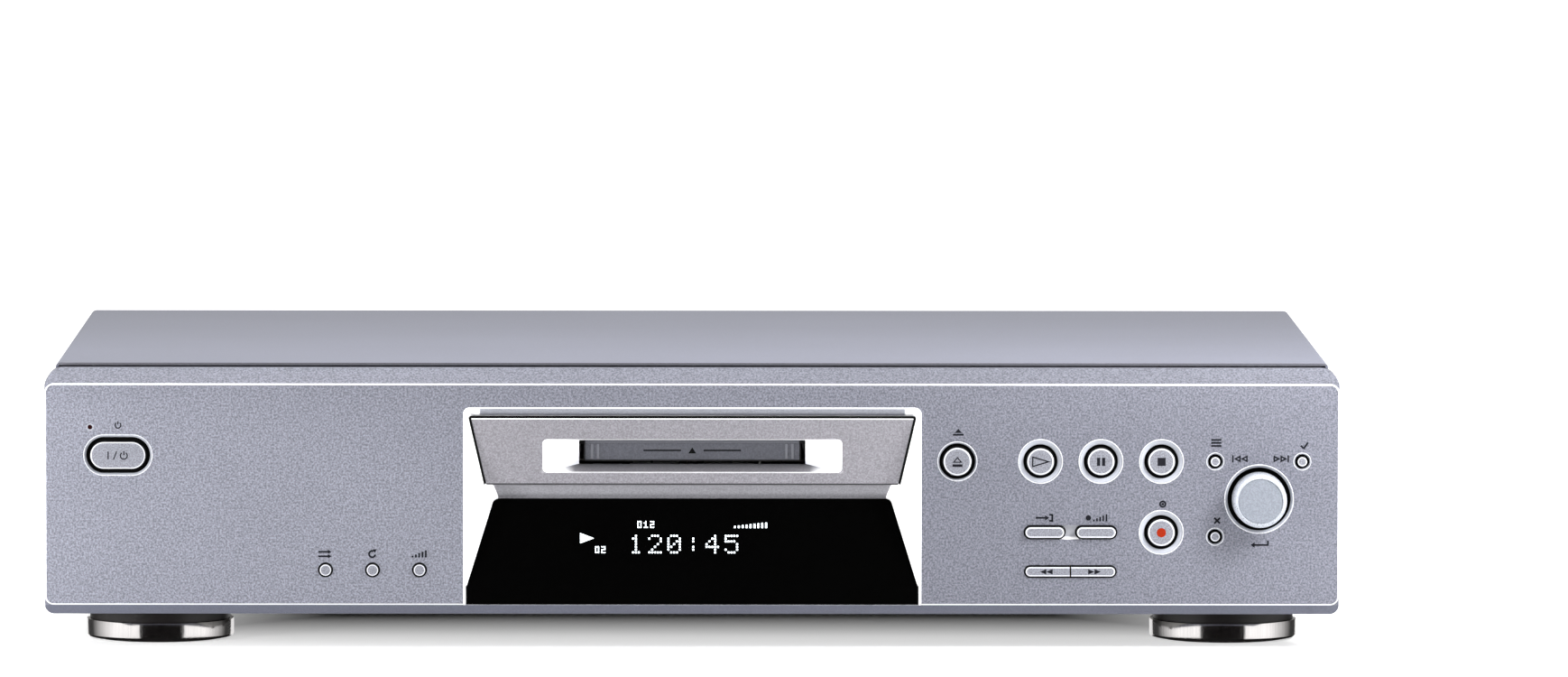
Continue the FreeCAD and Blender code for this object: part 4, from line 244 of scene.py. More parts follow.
class Finish(Nodes):
    """A material under construction: its tree, its shader and the object coordinates."""

    def __init__(self, name, roughness, metallic=0.0, coat=0.0, specular=0.5):
        self.name = name
        self.material = bpy.data.materials.new(name + "_finish")
        self.material.use_nodes = True
        self.tree = self.material.node_tree
        self.shader = self.tree.nodes["Principled BSDF"]
        settings = {"Roughness": roughness, "Metallic": metallic, "Coat Weight": coat,
                    "Coat Roughness": 0.05, "Specular IOR Level": specular}
        for socket, value in settings.items():
            self.shader.inputs[socket].default_value = value
        self.place = self.node("ShaderNodeTexCoord").outputs["Object"]

    def colour(self, out):
        self.base = out
        self.link(out, self.shader.inputs["Base Color"])

    def wash(self, value, dark, light, low=0.3, high=0.7):
        """Multiplies the colour by a tone between two, picked by a value."""
        self.colour(self.over(self.base, self.tones(value, dark, light, low, high), 1.0, "MULTIPLY"))

    def gloss(self, out):
        self.polish = out
        self.link(out, self.shader.inputs["Roughness"])

    def glow(self, out, strength=1.0):
        """Light of the finish's own."""
        self.link(out, self.shader.inputs["Emission Color"])
        self.shader.inputs["Emission Strength"].default_value = strength

    def dents(self, value, depth, strength):
        """Bumps as deep as that, where the value is low."""
        bump = self.node("ShaderNodeBump")
        bump.inputs["Distance"].default_value = depth
        bump.inputs["Strength"].default_value = strength
        self.link(value, bump.inputs["Height"])
        self.link(bump.outputs["Normal"], self.shader.inputs["Normal"])

    def measure(self):
        """Finds the four measures of a point that zones are given in."""
        split = self.node("ShaderNodeSeparateXYZ")
        self.link(self.place, split.inputs["Vector"])
        self.across, self.height = split.outputs["X"], split.outputs["Z"]
        self.aside = self.compute("ABSOLUTE", self.across)
        self.depth = self.compute("SUBTRACT", split.outputs["Y"], face)

    def rise(self, value, start, end):
        """A mask that grows from 0 to 1 between two limits in mm."""
        return self.level(value, 0, 1, start * mm, end * mm)

    def fall(self, value, start, end):
        """A mask that sinks from 1 to 0 between two limits in mm."""
        return self.level(value, 1, 0, start * mm, end * mm)

    def inside(self, value, low, high, soft=0.04):
        """A mask for the values between two limits in mm, with edges that soft."""
        return self.overlap(self.rise(value, low, low + soft), self.fall(value, high - soft, high))

    def overlap(self, first, *masks):
        """A mask for where all of these are 1."""
        for mask in masks:
            first = self.compute("MULTIPLY", first, mask)
        return first

    def zone(self, **limits):
        """A mask for where each named measure lies between its limits, and how soft its edges are."""
        return self.overlap(*[self.inside(getattr(self, name), *pair) for name, pair in limits.items()])

    def flip(self, mask):
        """A mask for where this one is 0."""
        return self.level(mask, 1, 0, 0, 1)

    def blend(self, first, second, mask):
        """One number, and another where the mask is 1."""
        return self.compute("ADD", self.compute("MULTIPLY", self.flip(mask), first),
                            self.compute("MULTIPLY", mask, second))

    def trim(self, mask, tone, roughness, metallic, contrast=0.03):
        """Another finish where the mask is 1."""
        other = self.varied(self.grain(TRIM_GRAIN), tone, contrast)
        self.colour(self.over(self.base, other, mask, "MIX"))
        self.gloss(self.blend(self.polish, roughness, mask))
        metal = self.shader.inputs["Metallic"]
        share = metal.links[0].from_socket if metal.links else metal.default_value
        self.link(self.blend(share, metallic, mask), metal)


finishes = {}


def keep(finish):
    """Enters a finish under its name, for the pieces that ask for it."""
    finishes[finish.name] = finish.material
    return finish


print("ways to shape a finish", [way for way in vars(Finish) if not way.startswith("_")])

# %% [markdown]
# ## Silver paint
# The cover and the front are painted in the same bluish silver, full of tiny metal flecks. Fine grain
# gives the flecks, a second finer grain breaks them up, and a wide soft cloud keeps large faces from
# looking dead. The flecks also dent the surface by a few hundredths of a millimetre, so they glint.

# %% Mix the silver paints
SPARK_SHARE = 0.45  # size of the finer grain, as a share of a fleck
PAINT_CLOUD = 70 * mm


def silver_paint(name, tone, contrast, fleck, roughness, metallic, depth):
    """Paint with flecks that many mm wide, which dent it that deep."""
    finish = Finish(name, roughness, metallic)
    flecks = finish.grain(fleck * mm, 3.0)
    finish.colour(finish.varied(flecks, tone, contrast, 0.36, 0.64))
    finish.wash(finish.grain(fleck * SPARK_SHARE * mm, 1.0), grey(0.8), grey(1.0))
    finish.wash(finish.grain(PAINT_CLOUD, 1.0), grey(0.965), grey(1.0), 0.35, 0.65)
    finish.gloss(finish.level(flecks, roughness - 0.05, roughness + 0.06))
    finish.dents(flecks, depth * mm, 0.5)
    return keep(finish)


cover_paint = silver_paint("cover_paint", (0.195, 0.202, 0.262), 0.20, 0.62, 0.42, 0.45, 0.02)
front_paint = silver_paint("front_paint", (0.222, 0.228, 0.272), 0.36, 0.62, 0.45, 0.4, 0.03)
loader_paint = silver_paint("loader_paint", (0.24, 0.233, 0.257), 0.20, 0.6, 0.45, 0.3, 0.02)
silver_paint("rear_paint", (0.32, 0.325, 0.35), 0.10, 0.9, 0.5, 0.2, 0.03)
silver_paint("key_silver", (0.236, 0.242, 0.278), 0.28, 0.5, 0.4, 0.4, 0.02)
silver_paint("knob_metal", (0.235, 0.254, 0.293), 0.12, 0.5, 0.38, 0.4, 0.01)
# knob_rim, rim_bright and key_bevel are paler paints for the painted highlights on the knob's polished
# shoulder, the rings' lips and the keys' bevels
silver_paint("knob_rim", (0.56, 0.59, 0.65), 0.05, 0.5, 0.3, 0.5, 0.003)
silver_paint("rim_bright", (0.78, 0.79, 0.82), 0.02, 0.5, 0.3, 0.3, 0.003)
silver_paint("key_bevel", (0.60, 0.61, 0.65), 0.03, 0.5, 0.34, 0.3, 0.003)
print("paints", list(finishes))

# %% [markdown]
# ## Painted shade across the front
# The front's paint carries a painted shade, about a fifth darker towards its lower right, where the studio's
# light falls off. The band over the face plate has painted shade too, by a tenth on the left and a quarter on
# the right. Lamps alone would have to stand very close to do this, so both are washes: the first follows how
# far right times how far down a point lies, and the second is a band of height that grows from left to right.

# %% Shade the front
CORNER_FADE = 0.0036  # square metres
BAND_LOW, BAND_HIGH, BAND_FADE = 88.95, 100, 100  # mm
BAND_LEFT = 0.4  # the strength of the band's wash at its left end

front_paint.measure()
below = front_paint.compute("SUBTRACT", cad_box[1][2], front_paint.height)
# painted shade: the front gets darker towards its lower right
painted_shade_lower_right = front_paint.level(front_paint.compute("MULTIPLY", front_paint.across, below), 0, 1,
                                -CORNER_FADE, CORNER_FADE)
front_paint.wash(painted_shade_lower_right, grey(1.0), (0.79, 0.79, 0.80), 0.0, 1.0)
# painted shade on the band over the face plate, stronger to the right
rightwards = front_paint.level(front_paint.across, BAND_LEFT, 1, -BAND_FADE * mm, BAND_FADE * mm)
painted_shade_band = front_paint.overlap(front_paint.zone(height=(BAND_LOW, BAND_HIGH)), rightwards)
front_paint.wash(painted_shade_band, grey(1.0), grey(0.76), 0.0, 1.0)
print("deck is", round(cad_box[1][2] / mm, 1), "mm high")

# %% [markdown]
# ## Edges of the painted pieces
# The rim of the face plate carries a painted highlight, a white line all round; the slope under it and the
# cut front edge of the cover's sheet carry painted shade and are dark; the walls of the key holes are painted
# black as the shade in the gaps. A shallow trough joins the two flat pill keys, silver, with a painted
# highlight along its foot. Cutting the meshes would also give each its own material, but a zone leaves the
# CAD solid whole.

# %% Mask the edges
CUT_WIDTH = 0.3  # mm

rim = front_paint.zone(depth=(0.05, 1.0))
slope = front_paint.zone(height=(5, 15.1))
trough = front_paint.zone(height=(36.3, 42.9), aside=(122, 129.5), depth=(START, 1.3))
painted_shade_hole_walls = front_paint.zone(depth=(0.06, 3.4), height=(18, 87), aside=(START, 212))
trough_floor = front_paint.overlap(trough, front_paint.zone(depth=(0.06, 1.3)))
painted_highlight_trough_foot = front_paint.overlap(trough_floor, front_paint.zone(height=(36, 38.2, 0.5)))

# a painted highlight on the rim and the trough's foot, and painted shade on the slope and the hole walls
front_paint.trim(rim, (0.93, 0.94, 0.96), 0.3, 0.5)
front_paint.trim(slope, (0.095, 0.10, 0.13), 0.5, 0.2, 0.1)
front_paint.trim(front_paint.overlap(painted_shade_hole_walls, front_paint.flip(trough)), grey(0.006), 0.8, 0.0)
front_paint.trim(trough_floor, (0.25, 0.255, 0.28), 0.4, 0.2)
front_paint.trim(painted_highlight_trough_foot, (0.9, 0.9, 0.92), 0.35, 0.2)

cut_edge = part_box("top_cover")[0].y - face
cover_paint.measure()
painted_shade_sheet_edge = cover_paint.zone(depth=(START, cut_edge / mm + CUT_WIDTH))
# painted shade on the cover's cut front edge
cover_paint.trim(painted_shade_sheet_edge, (0.085, 0.085, 0.10), 0.5, 0.1, 0.1)
print("cover starts", round(cut_edge / mm, 2), "mm behind the face")

# %% [markdown]
# ## The loading panel's funnel
# The slot's funnel has a painted highlight that makes its sides nearly white, and painted shade a little
# greyer low down and far in, while its floor keeps the grey paint and gets painted shade towards the slot,
# where light doesn't reach. The masks measure how far a point lies behind the slanted panel, and tell the
# floor from the sides by the line where the two meet. The panel's top edge has a painted highlight, a bright
# line, and its foot painted shade, a dark one; the throat is painted black as shade.

# %% Mask the funnel
LOADER_TOP, LOADER_TOP_DEPTH, LOADER_SLOPE = 77.7, 1.2, 0.2672  # mm, mm, and mm back for each mm down
THROAT_HALF, THROAT_DEPTH = 37.7, 12.4  # mm
SEAM_HEIGHT, SEAM_FALL = 61.35, 0.1885  # mm, and mm down for each mm outwards
MOUTH_END = 20  # mm behind the panel, past the funnel's end
SLOT_SHADE_START, SLOT_SHADE_MOST = 6, 0.975  # mm behind the face, and how strong it is at the slot

loader_paint.measure()
plane = loader_paint.compute("MULTIPLY_ADD", loader_paint.height, LOADER_SLOPE,
                             -(LOADER_TOP_DEPTH + LOADER_TOP * LOADER_SLOPE) * mm)
loader_paint.behind = loader_paint.compute("ADD", loader_paint.depth, plane)
past_throat = loader_paint.compute("SUBTRACT", loader_paint.aside, THROAT_HALF * mm)
beyond = loader_paint.compute("MAXIMUM", past_throat, 0.0)
loader_paint.seam = loader_paint.compute("MULTIPLY_ADD", beyond, SEAM_FALL, loader_paint.height)

painted_bright_mouth = loader_paint.zone(behind=(0.05, MOUTH_END), height=(58.6, 70.6), aside=(START, 50.2))
painted_shade_low_side = loader_paint.overlap(painted_bright_mouth, loader_paint.fall(loader_paint.height, 60.5, 66.5),
                                loader_paint.rise(loader_paint.behind, 1.0, 8))
funnel_floor = loader_paint.overlap(loader_paint.zone(seam=(50, SEAM_HEIGHT), behind=(0.45, MOUTH_END)),
                                    loader_paint.fall(loader_paint.aside, 39, 43.5))
painted_shade_to_slot = loader_paint.level(loader_paint.depth, 0, SLOT_SHADE_MOST, SLOT_SHADE_START * mm, THROAT_DEPTH * mm)

# a painted highlight on the funnel's sides, then painted shade low down and far in
loader_paint.trim(painted_bright_mouth, (0.95, 0.95, 0.96), 0.35, 0.1)
loader_paint.trim(painted_shade_low_side, (0.36, 0.38, 0.44), 0.4, 0.1)
loader_paint.trim(funnel_floor, (0.15, 0.145, 0.16), 0.5, 0.2, 0.25)
# painted shade on the funnel's floor towards the slot
loader_paint.trim(loader_paint.overlap(funnel_floor, painted_shade_to_slot), (0.05, 0.05, 0.055), 0.6, 0.0, 0.1)
# painted shade: the throat is black
loader_paint.trim(loader_paint.zone(depth=(THROAT_DEPTH, 40)), grey(0.01), 0.7, 0.0)
# a painted highlight along the panel's top edge
loader_paint.trim(loader_paint.zone(height=(76.95, 77.9), behind=(START, 0.1)), (0.95, 0.95, 0.96), 0.3, 0.3)
# painted shade in the gap at the panel's foot
loader_paint.trim(loader_paint.zone(height=(50, 55.2), depth=(6, 9)), (0.02, 0.02, 0.022), 0.6, 0.0)
print("the funnel's throat is", 2 * THROAT_HALF, "mm wide and", THROAT_DEPTH, "mm behind the face")

# %% [markdown]
# ## Bright and rolled metal
# Worked metals differ in the way their scratches run: upright on the chromed rings, the core, the
# motors and the turntable, from front to back on sheets, shafts and sockets, and no way in particular
# on satin trim and screw heads. One helper draws them by stretching the noise along the grain of the
# metal, which costs less than real grooves and looks the same.

# %% Make the metals
EVEN = (1, 1, 1)
STAINS = 14 * mm


def upright(share):
    return (1, 1, share)


def lengthwise(share):
    return (1, share, 1)


def worked_metal(name, tone, roughness, size, stretch, contrast=0.12, depth=0.01, metallic=1.0):
    """Metal with scratches that many mm wide, drawn out by the stretch."""
    finish = Finish(name, roughness, metallic)
    scratches = finish.grain(size * mm, 3.0, stretch)
    finish.colour(finish.varied(scratches, tone, contrast))
    finish.wash(finish.grain(STAINS), grey(0.88), grey(1.0))
    finish.gloss(finish.level(scratches, roughness * 0.8, roughness * 1.25))
    finish.dents(scratches, depth * mm, 0.4)
    keep(finish)


worked_metal("ring_silver", (0.49, 0.51, 0.57), 0.42, 0.4, EVEN, 0.05, 0.004, 0.4)
worked_metal("ring_chrome", (0.92, 0.89, 0.88), 0.12, 0.5, upright(0.03), 0.06, 0.004)
worked_metal("plated_steel", (0.58, 0.58, 0.55), 0.38, 1.2, lengthwise(0.05), 0.16)
worked_metal("shaft_steel", grey(0.62), 0.25, 0.4, lengthwise(0.08))
worked_metal("core_iron", (0.30, 0.30, 0.31), 0.5, 0.5, upright(0.03), 0.3, 0.05)
worked_metal("jack_metal", (0.78, 0.76, 0.70), 0.3, 0.6, lengthwise(0.1))
worked_metal("motor_steel", (0.55, 0.55, 0.54), 0.35, 0.8, upright(0.1))
worked_metal("turntable_metal", (0.66, 0.66, 0.67), 0.3, 0.5, upright(0.1))
worked_metal("screw_steel", (0.50, 0.50, 0.51), 0.34, 0.5, EVEN, 0.2, 0.02)
print("metals", len(finishes))

# %% [markdown]
# ## Mouldings and small parts
# Plain moulded parts get a fine spark-eroded grain, gloss that wanders a little, and a cloud of tone
# where the plastic flowed. The display window is the same idea with almost no grain: a polished,
# smoked black sheet that mirrors the room only faintly.

# %% Make the mouldings
FLOW = 18 * mm


def moulded(name, tone, roughness, size=0.5, contrast=0.12, depth=0.02, coat=0.0, specular=0.5, drift=0.08):
    """Plastic or rubber with a grain that many mm wide, and tone that drifts by that share."""
    finish = Finish(name, roughness, 0.0, coat, specular)
    skin = finish.grain(size * mm)
    flow = finish.grain(FLOW)
    finish.colour(finish.varied(skin, tone, contrast))
    finish.wash(flow, grey(1 - drift), grey(1.0))
    finish.gloss(finish.level(flow, roughness * 0.85, roughness * 1.15))
    finish.dents(skin, depth * mm, 0.5)
    return keep(finish)


# the recess's near-white tone is a painted highlight on its splayed sides
recess_silver = moulded("recess_silver", (0.95, 0.955, 0.97), 0.4, 0.5, 0.02, 0.003, drift=0.005)
moulded("window_black", grey(0.0006), 0.07, 2.0, 0.1, 0.001, specular=0.07)
flap_grey = moulded("flap_grey", (0.072, 0.074, 0.09), 0.5, 0.5, 0.2)
moulded("encoder_body", (0.045, 0.045, 0.05), 0.5)
moulded("switch_black", grey(0.03), 0.45)
moulded("tube_glass", (0.05, 0.055, 0.06), 0.06, 3.0, 0.1, 0.001, coat=0.4)
moulded("lamp_red", (0.012, 0.002, 0.002), 0.3, 0.4, 0.1, 0.002, specular=0.2)
moulded("component_black", (0.025, 0.025, 0.027), 0.4, 0.4)
moulded("coil_tape", (0.62, 0.50, 0.16), 0.35, 0.6, 0.1)
moulded("socket_black", grey(0.02), 0.35)
moulded("ribbon_white", (0.72, 0.72, 0.70), 0.4, 0.8, 0.05)
moulded("moulded_black", (0.035, 0.035, 0.037), 0.42)
moulded("gear_white", (0.78, 0.77, 0.72), 0.38, 0.6, 0.04)
moulded("foot_black", (0.012, 0.010, 0.010), 0.4, 0.6)
moulded("pad_rubber", grey(0.02), 0.8, 0.5, 0.2, 0.04)
moulded("deep_black", grey(0.004), 0.7, 0.5, 0.1, 0.01, specular=0.1)
moulded("print_dark", (0.008, 0.008, 0.011), 0.6, 0.3, 0.12, 0.004, specular=0.1)
moulded("record_orange", (0.17, 0.010, 0.001), 0.5, 0.4, 0.08, 0.004, specular=0.1)
moulded("socket_red", (0.50, 0.02, 0.02), 0.35, 0.5, 0.08)
moulded("socket_white", (0.75, 0.75, 0.73), 0.35, 0.5, 0.04)
print("finishes", len(finishes))

# %% [markdown]
# ## The recess's grey strips
# The recess moulding's splayed sides carry a painted highlight that makes them nearly white. The strip over
# the loading panel and the step under it are sprayed in the grey of that panel, and the foot under the window
# is black. The step reaches the side walls, so its zone follows their splay; the strip stops short of the
# corners. Two pairs of ribs on the flap are paler than it, and its free edges are painted black as the shade
# in the gap round it.

# %% Mask the strips
SPLAY = 0.84  # mm that a side wall comes inwards for each mm behind the face
RECESS_HALF, WALL_MARGIN = 75.5, 0.08  # mm: where the wall meets the face, and the step's gap to it
FLAP_HALF, FLAP_EDGE = 36.2, 0.5  # mm

recess_silver.measure()
recess_silver.wall = recess_silver.compute("MULTIPLY_ADD", recess_silver.depth, SPLAY, recess_silver.aside)
window_foot = recess_silver.zone(height=(10, 22.2, 0.8), aside=(START, 75.3), depth=(0.05, 9))
upper_strip = recess_silver.zone(height=(78.2, 80.7), aside=(START, 70.9, 0.5), depth=(START, 9))
step = recess_silver.zone(height=(49, 55.2), wall=(START, RECESS_HALF - WALL_MARGIN), depth=(5, 20))
recess_silver.trim(window_foot, grey(0.004), 0.7, 0.0)
recess_silver.trim(upper_strip, (0.24, 0.248, 0.28), 0.5, 0.2, 0.15)
recess_silver.trim(step, (0.215, 0.213, 0.232), 0.5, 0.2, 0.15)

flap_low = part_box("slot_flap")[0].z / mm
flap_grey.measure()
flap_middle = flap_grey.zone(aside=(START, FLAP_HALF - FLAP_EDGE), height=(flap_low + FLAP_EDGE, 90))
flap_grey.trim(flap_grey.zone(depth=(10, 14.55)), (0.12, 0.123, 0.14), 0.4, 0.0)
# painted shade along the flap's free edges
flap_grey.trim(flap_grey.flip(flap_middle), grey(0.005), 0.7, 0.0)
print("the flap starts", round(flap_low, 1), "mm up")

# %% [markdown]
# ## Circuit board and lit dots
# The boards are brown phenolic sheet with a darker pattern of tracks under the lacquer, drawn here by a cell
# texture. Behind the knob, the small keys round it and the power key they are painted black as shade, since
# the gaps round those would show them. The lit dots of the display give their own light; a slow noise makes
# some a little weaker, as on a real tube.

# %% Make the board and the glow
TRACK_PITCH = 3.2 * mm
GLOW_TONE, GLOW_STRENGTH = (0.86, 0.95, 1.0), 1.15

board = Finish("board_green", 0.42)
cells = board.node("ShaderNodeTexVoronoi", feature="DISTANCE_TO_EDGE")
cells.inputs["Scale"].default_value = 1 / TRACK_PITCH
board.link(board.place, cells.inputs["Vector"])
board.colour(board.tones(cells.outputs["Distance"], (0.22, 0.14, 0.045), (0.36, 0.24, 0.09), 0.04, 0.07))
board.wash(board.grain(1.5 * mm), grey(0.9), grey(1.0))
board.gloss(board.level(cells.outputs["Distance"], 0.38, 0.46))
board.measure()
# painted shade: the board is black behind the gaps round the knob and the keys
board.trim(board.zone(aside=(172, 205), height=(32, 78), depth=(0, 16)), grey(0.006), 0.7, 0.0)
board.dents(cells.outputs["Distance"], 0.02 * mm, 0.3)
keep(board)

tube_dots = Finish("display_glow", 0.4)
tube_dots.colour(tube_dots.tones(tube_dots.grain(2.5 * mm), shade(GLOW_TONE, 0.86), GLOW_TONE))
tube_dots.glow(tube_dots.base, GLOW_STRENGTH)
keep(tube_dots)
print("finishes", len(finishes))

# %% [markdown]
# ## Give every node its finish
# The packed record names a material slot for each node, so one loop dresses all of them. Assigning
# to the mesh's own slot leaves its vertices alone.

# %% Assign the finishes
for part in frame["record"]["subparts"]:
    nodes[part["node"]].data.materials.clear()
    nodes[part["node"]].data.materials.append(finishes[part["material_slot"]])

# %% [markdown]
# ## The floor
# A wide disc, large enough that its far edge lies outside every view, with a trace of cloud. It acts as a
# light table: it glows evenly farther out, and the glow is left out under the deck and close round it, a
# painted shadow that stays deep and narrow while the rest of the floor is white.

# %% Lay the floor
FLOOR_RADIUS = 14
HALF_DEPTH = 0.13  # from the face to the middle of the dark patch, and from there to its ends
SIDE_SCALE, SIDE_REACH = 1.1, 0.26
GLOW_START, GLOW_FULL = -0.123, -0.048  # measured from the ends of the dark patch


def staged(name, made, finish):
    """A piece of the studio, which isn't part of the deck."""
    data = bpy.data.meshes.new(name)
    made.to_mesh(data)
    made.free()
    data.materials.append(finish.material)
    stand = bpy.data.objects.new(name, data)
    scene.collection.objects.link(stand)
    return stand


def disc(radius, z=0.0):
    """A flat round sheet."""
    made = bmesh.new()
    bmesh.ops.create_circle(made, cap_ends=True, segments=64, radius=radius)
    bmesh.ops.translate(made, verts=made.verts, vec=(0, 0, z))
    return made


paper = Finish("floor_paper", 0.85, specular=0.2)
paper.colour(paper.tones(paper.grain(0.5), grey(0.84), grey(0.87)))
paper.measure()
beside = paper.compute("MULTIPLY_ADD", paper.aside, SIDE_SCALE, -SIDE_REACH)
from_middle = paper.compute("ABSOLUTE", paper.compute("SUBTRACT", paper.depth, HALF_DEPTH))
before = paper.compute("SUBTRACT", from_middle, HALF_DEPTH)
# painted shadow: the glow fades out under the deck and close round it
painted_shadow_fade = paper.level(paper.compute("MAXIMUM", beside, before), 0, 1, GLOW_START, GLOW_FULL)
paper.glow(paper.tones(painted_shadow_fade, grey(0.0), grey(0.55), 0.0, 1.0))
floor = staged("studio_floor", disc(FLOOR_RADIUS), paper)
floor.visible_glossy = False
print("floor", floor.dimensions)

# %% [markdown]
# ## Flags and reflectors
# Polished trim shows what stands round it, so a studio puts dark flags and bright reflectors there.
# A dark flag beside the camera keeps flat glossy faces calm and leaves the bevels bright, and gives
# the bright feet their dark middle. The reflectors fade towards their far ends, and so does their
# picture in the feet. The walls are arcs spun from one upright edge, over a dark disc that keeps
# downward edges dark, and only reflections see them, so they neither shade the deck nor stand in view.

# %% Put up the flags
WALL_RADIUS, WALL_FOOT, FLAG_TOP, REFLECTOR_TOP = 2.5, -0.7, 2.3, 1.6
FADE_START, FADE_END = -0.6, 1.6  # behind the face

flag = Finish("flag_cloth", 1.0, specular=0.0)
flag.colour(flag.tones(flag.grain(0.2), grey(0.004), (0.012, 0.011, 0.011)))
reflector = Finish("reflector_silk", 1.0, specular=0.0)
reflector.colour(reflector.tones(reflector.grain(0.3), grey(0.02), grey(0.03)))
reflector.measure()
fade = reflector.level(reflector.depth, 1, 0, FADE_START, FADE_END)
reflector.glow(reflector.tones(fade, grey(0.02), grey(1.1), 0.0, 1.0))


def spin(made, angle, steps, merge=False):
    """Spins all of a mesh round the Z axis."""
    bmesh.ops.spin(made, geom=made.verts[:] + made.edges[:], axis=(0, 0, 1), cent=(0, 0, 0),
                   dvec=(0, 0, 0), angle=angle, steps=steps, use_merge=merge)


def reflected_only(stand):
    """Hides a piece from everything but reflections."""
    for ray in ("camera", "diffuse", "transmission", "volume_scatter", "shadow"):
        setattr(stand, "visible_" + ray, False)


def studio_wall(name, start, end, top, finish):
    """An upright arc round the deck, from one compass angle to another; 0 is the camera's side."""
    wall = bmesh.new()
    first = math.radians(start)
    x, y = WALL_RADIUS * math.sin(first), -WALL_RADIUS * math.cos(first)
    wall.edges.new([wall.verts.new((x, y, z)) for z in (WALL_FOOT, top)])
    spin(wall, math.radians(end - start), 24)
    reflected_only(staged(name, wall, finish))


reflected_only(staged("table_flag", disc(WALL_RADIUS, WALL_FOOT), flag))
studio_wall("camera_flag", -33, 35, FLAG_TOP, flag)
studio_wall("left_reflector", -150, -33.5, REFLECTOR_TOP, reflector)
studio_wall("right_reflector", 35.5, 150, REFLECTOR_TOP, reflector)

# %% [markdown]
# ## Turned pieces
# Keys, rings, the knob and the feet are all turned: half an outline, spun once round its axis. The
# CAD mesh of such a piece is cut into flat facets, so each gets a finer twin here, with the same
# outline and softer edges. A key with round ends is turned as well, and then its two halves are
# pulled apart, which leaves straight sides between two half circles.

# %% Helpers for turned pieces
FRONT = Matrix.Rotation(math.radians(90), 4, "X")  # turns a piece's top towards the person in front
SAME = 1e-7  # metres; points nearer to each other than this are one


def pull_apart(made, verts, apart):
    """Moves the left and the right half of some vertices outwards, each by so many mm."""
    for side in (-1, 1):
        half = [v for v in verts if v.co.x * side > SAME]
        bmesh.ops.translate(made, verts=half, vec=(side * apart * mm, 0, 0))


def turned(outline, steps=64, apart=0.0, closed=False):
    """A mesh turned round the Z axis. The outline is (radius, height) in mm; apart pulls its halves."""
    made = bmesh.new()
    corners = [made.verts.new((radius * mm, 0, height * mm)) for radius, height in outline]
    pairs = list(zip(corners, corners[1:]))
    if closed:
        pairs.append((corners[-1], corners[0]))
    for pair in pairs:
        made.edges.new(pair)
    bmesh.ops.rotate(made, verts=corners, cent=(0, 0, 0), matrix=Matrix.Rotation(math.pi / steps, 3, "Z"))
    spin(made, 2 * math.pi, steps, merge=True)
    bmesh.ops.remove_doubles(made, verts=made.verts, dist=SAME)
    pull_apart(made, made.verts[:], apart)
    bmesh.ops.recalc_face_normals(made, faces=made.faces)
    return made


def reach(side, apart=0.0):
    """How far a face lies from the axis, or from the nearer axis of a piece that was pulled apart."""
    spot = side.calc_center_median()
    return math.hypot(max(abs(spot.x) - apart * mm, 0), spot.y)


def moved(made, x=0.0, y=0.0, z=0.0, turn=None):
    """Turns a mesh about the origin and then sets it down at a place, in metres."""
    if turn is not None:
        bmesh.ops.transform(made, matrix=turn, verts=made.verts)
    bmesh.ops.translate(made, verts=made.verts, vec=(x, y, z))
    return made


def joined(meshes):
    """Several meshes put together into one."""
    whole = bmesh.new()
    for made in meshes:
        data = bpy.data.meshes.new("joining")
        made.to_mesh(data)
        made.free()
        whole.from_mesh(data)
        bpy.data.meshes.remove(data)
    return whole


print("a piece's top turns to", [round(part) for part in FRONT @ Vector((0, 0, 1))])

# %% [markdown]
# ## Pieces that ride on the deck
# A finished mesh becomes a piece: smooth apart from its sharp edges, dressed, and riding on the body that
# moves it. Where it takes the place of a CAD node, that node is hidden.

# %% Helpers for pieces
SHARP = 34  # degrees


def finished(made, name, body, looks, replaces=()):
    """Makes a mesh a piece that rides on its body. Looks are finishes by index."""
    data = bpy.data.meshes.new(name)
    made.to_mesh(data)
    made.free()
    data.polygons.foreach_set("use_smooth", [True] * len(data.polygons))
    data.set_sharp_from_angle(angle=math.radians(SHARP))
    for look in looks:
        data.materials.append(finishes[look])
    piece = bpy.data.objects.new(name, data)
    scene.collection.objects.link(piece)
    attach(piece, body)
    if replaces:
        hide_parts(*replaces)
    print(name, len(data.polygons), "faces")


def middle(node):
    """The middle of a node's box, across and upwards."""
    low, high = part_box(node)
    return (low.x + high.x) / 2, (low.z + high.z) / 2


print("the play key is at", [round(part / mm, 1) for part in middle("play_button")])

# %% [markdown]
# ## Round keys
# A key is a turned cap with a bevel round a flat, flecked face, a collar that keeps it behind the panel, and
# a stem that reaches its switch. One mesh carries three finishes: the flat face, a painted highlight on the
# bevel round it, and black painted shade for all that lies in the gap behind them.

# %% Turn the round keys
PANEL, COLLAR, STEM_END = 3.2, 4.4, 8.0  # mm behind the face: the collar's front and back, the stem's end
COLLAR_REACH, STEM, STEM_MARGIN = 1.3, 1.3, 0.4  # mm beyond the key, from the axis, inside a small key
BEVEL_CURVE = [(0.3, 0.12), (0.55, 0.28), (0.75, 0.48), (0.92, 0.76)]  # shares outwards and down
SHOWN, EDGE = 0.32, 0.04  # share of the bevel's width that is bright downwards, and mm inside its rim
HIGH, LOW = 1.5, 1.0  # mm that a key stands out of the face plate
PAINTED_HIGHLIGHT, PAINTED_SHADE = 1, 2  # places in the lists of looks; 0 is the plain one
# a painted highlight on the bevel, and painted shade in the gap behind
KEY_LOOKS = ["key_silver", "key_bevel", "deep_black"]


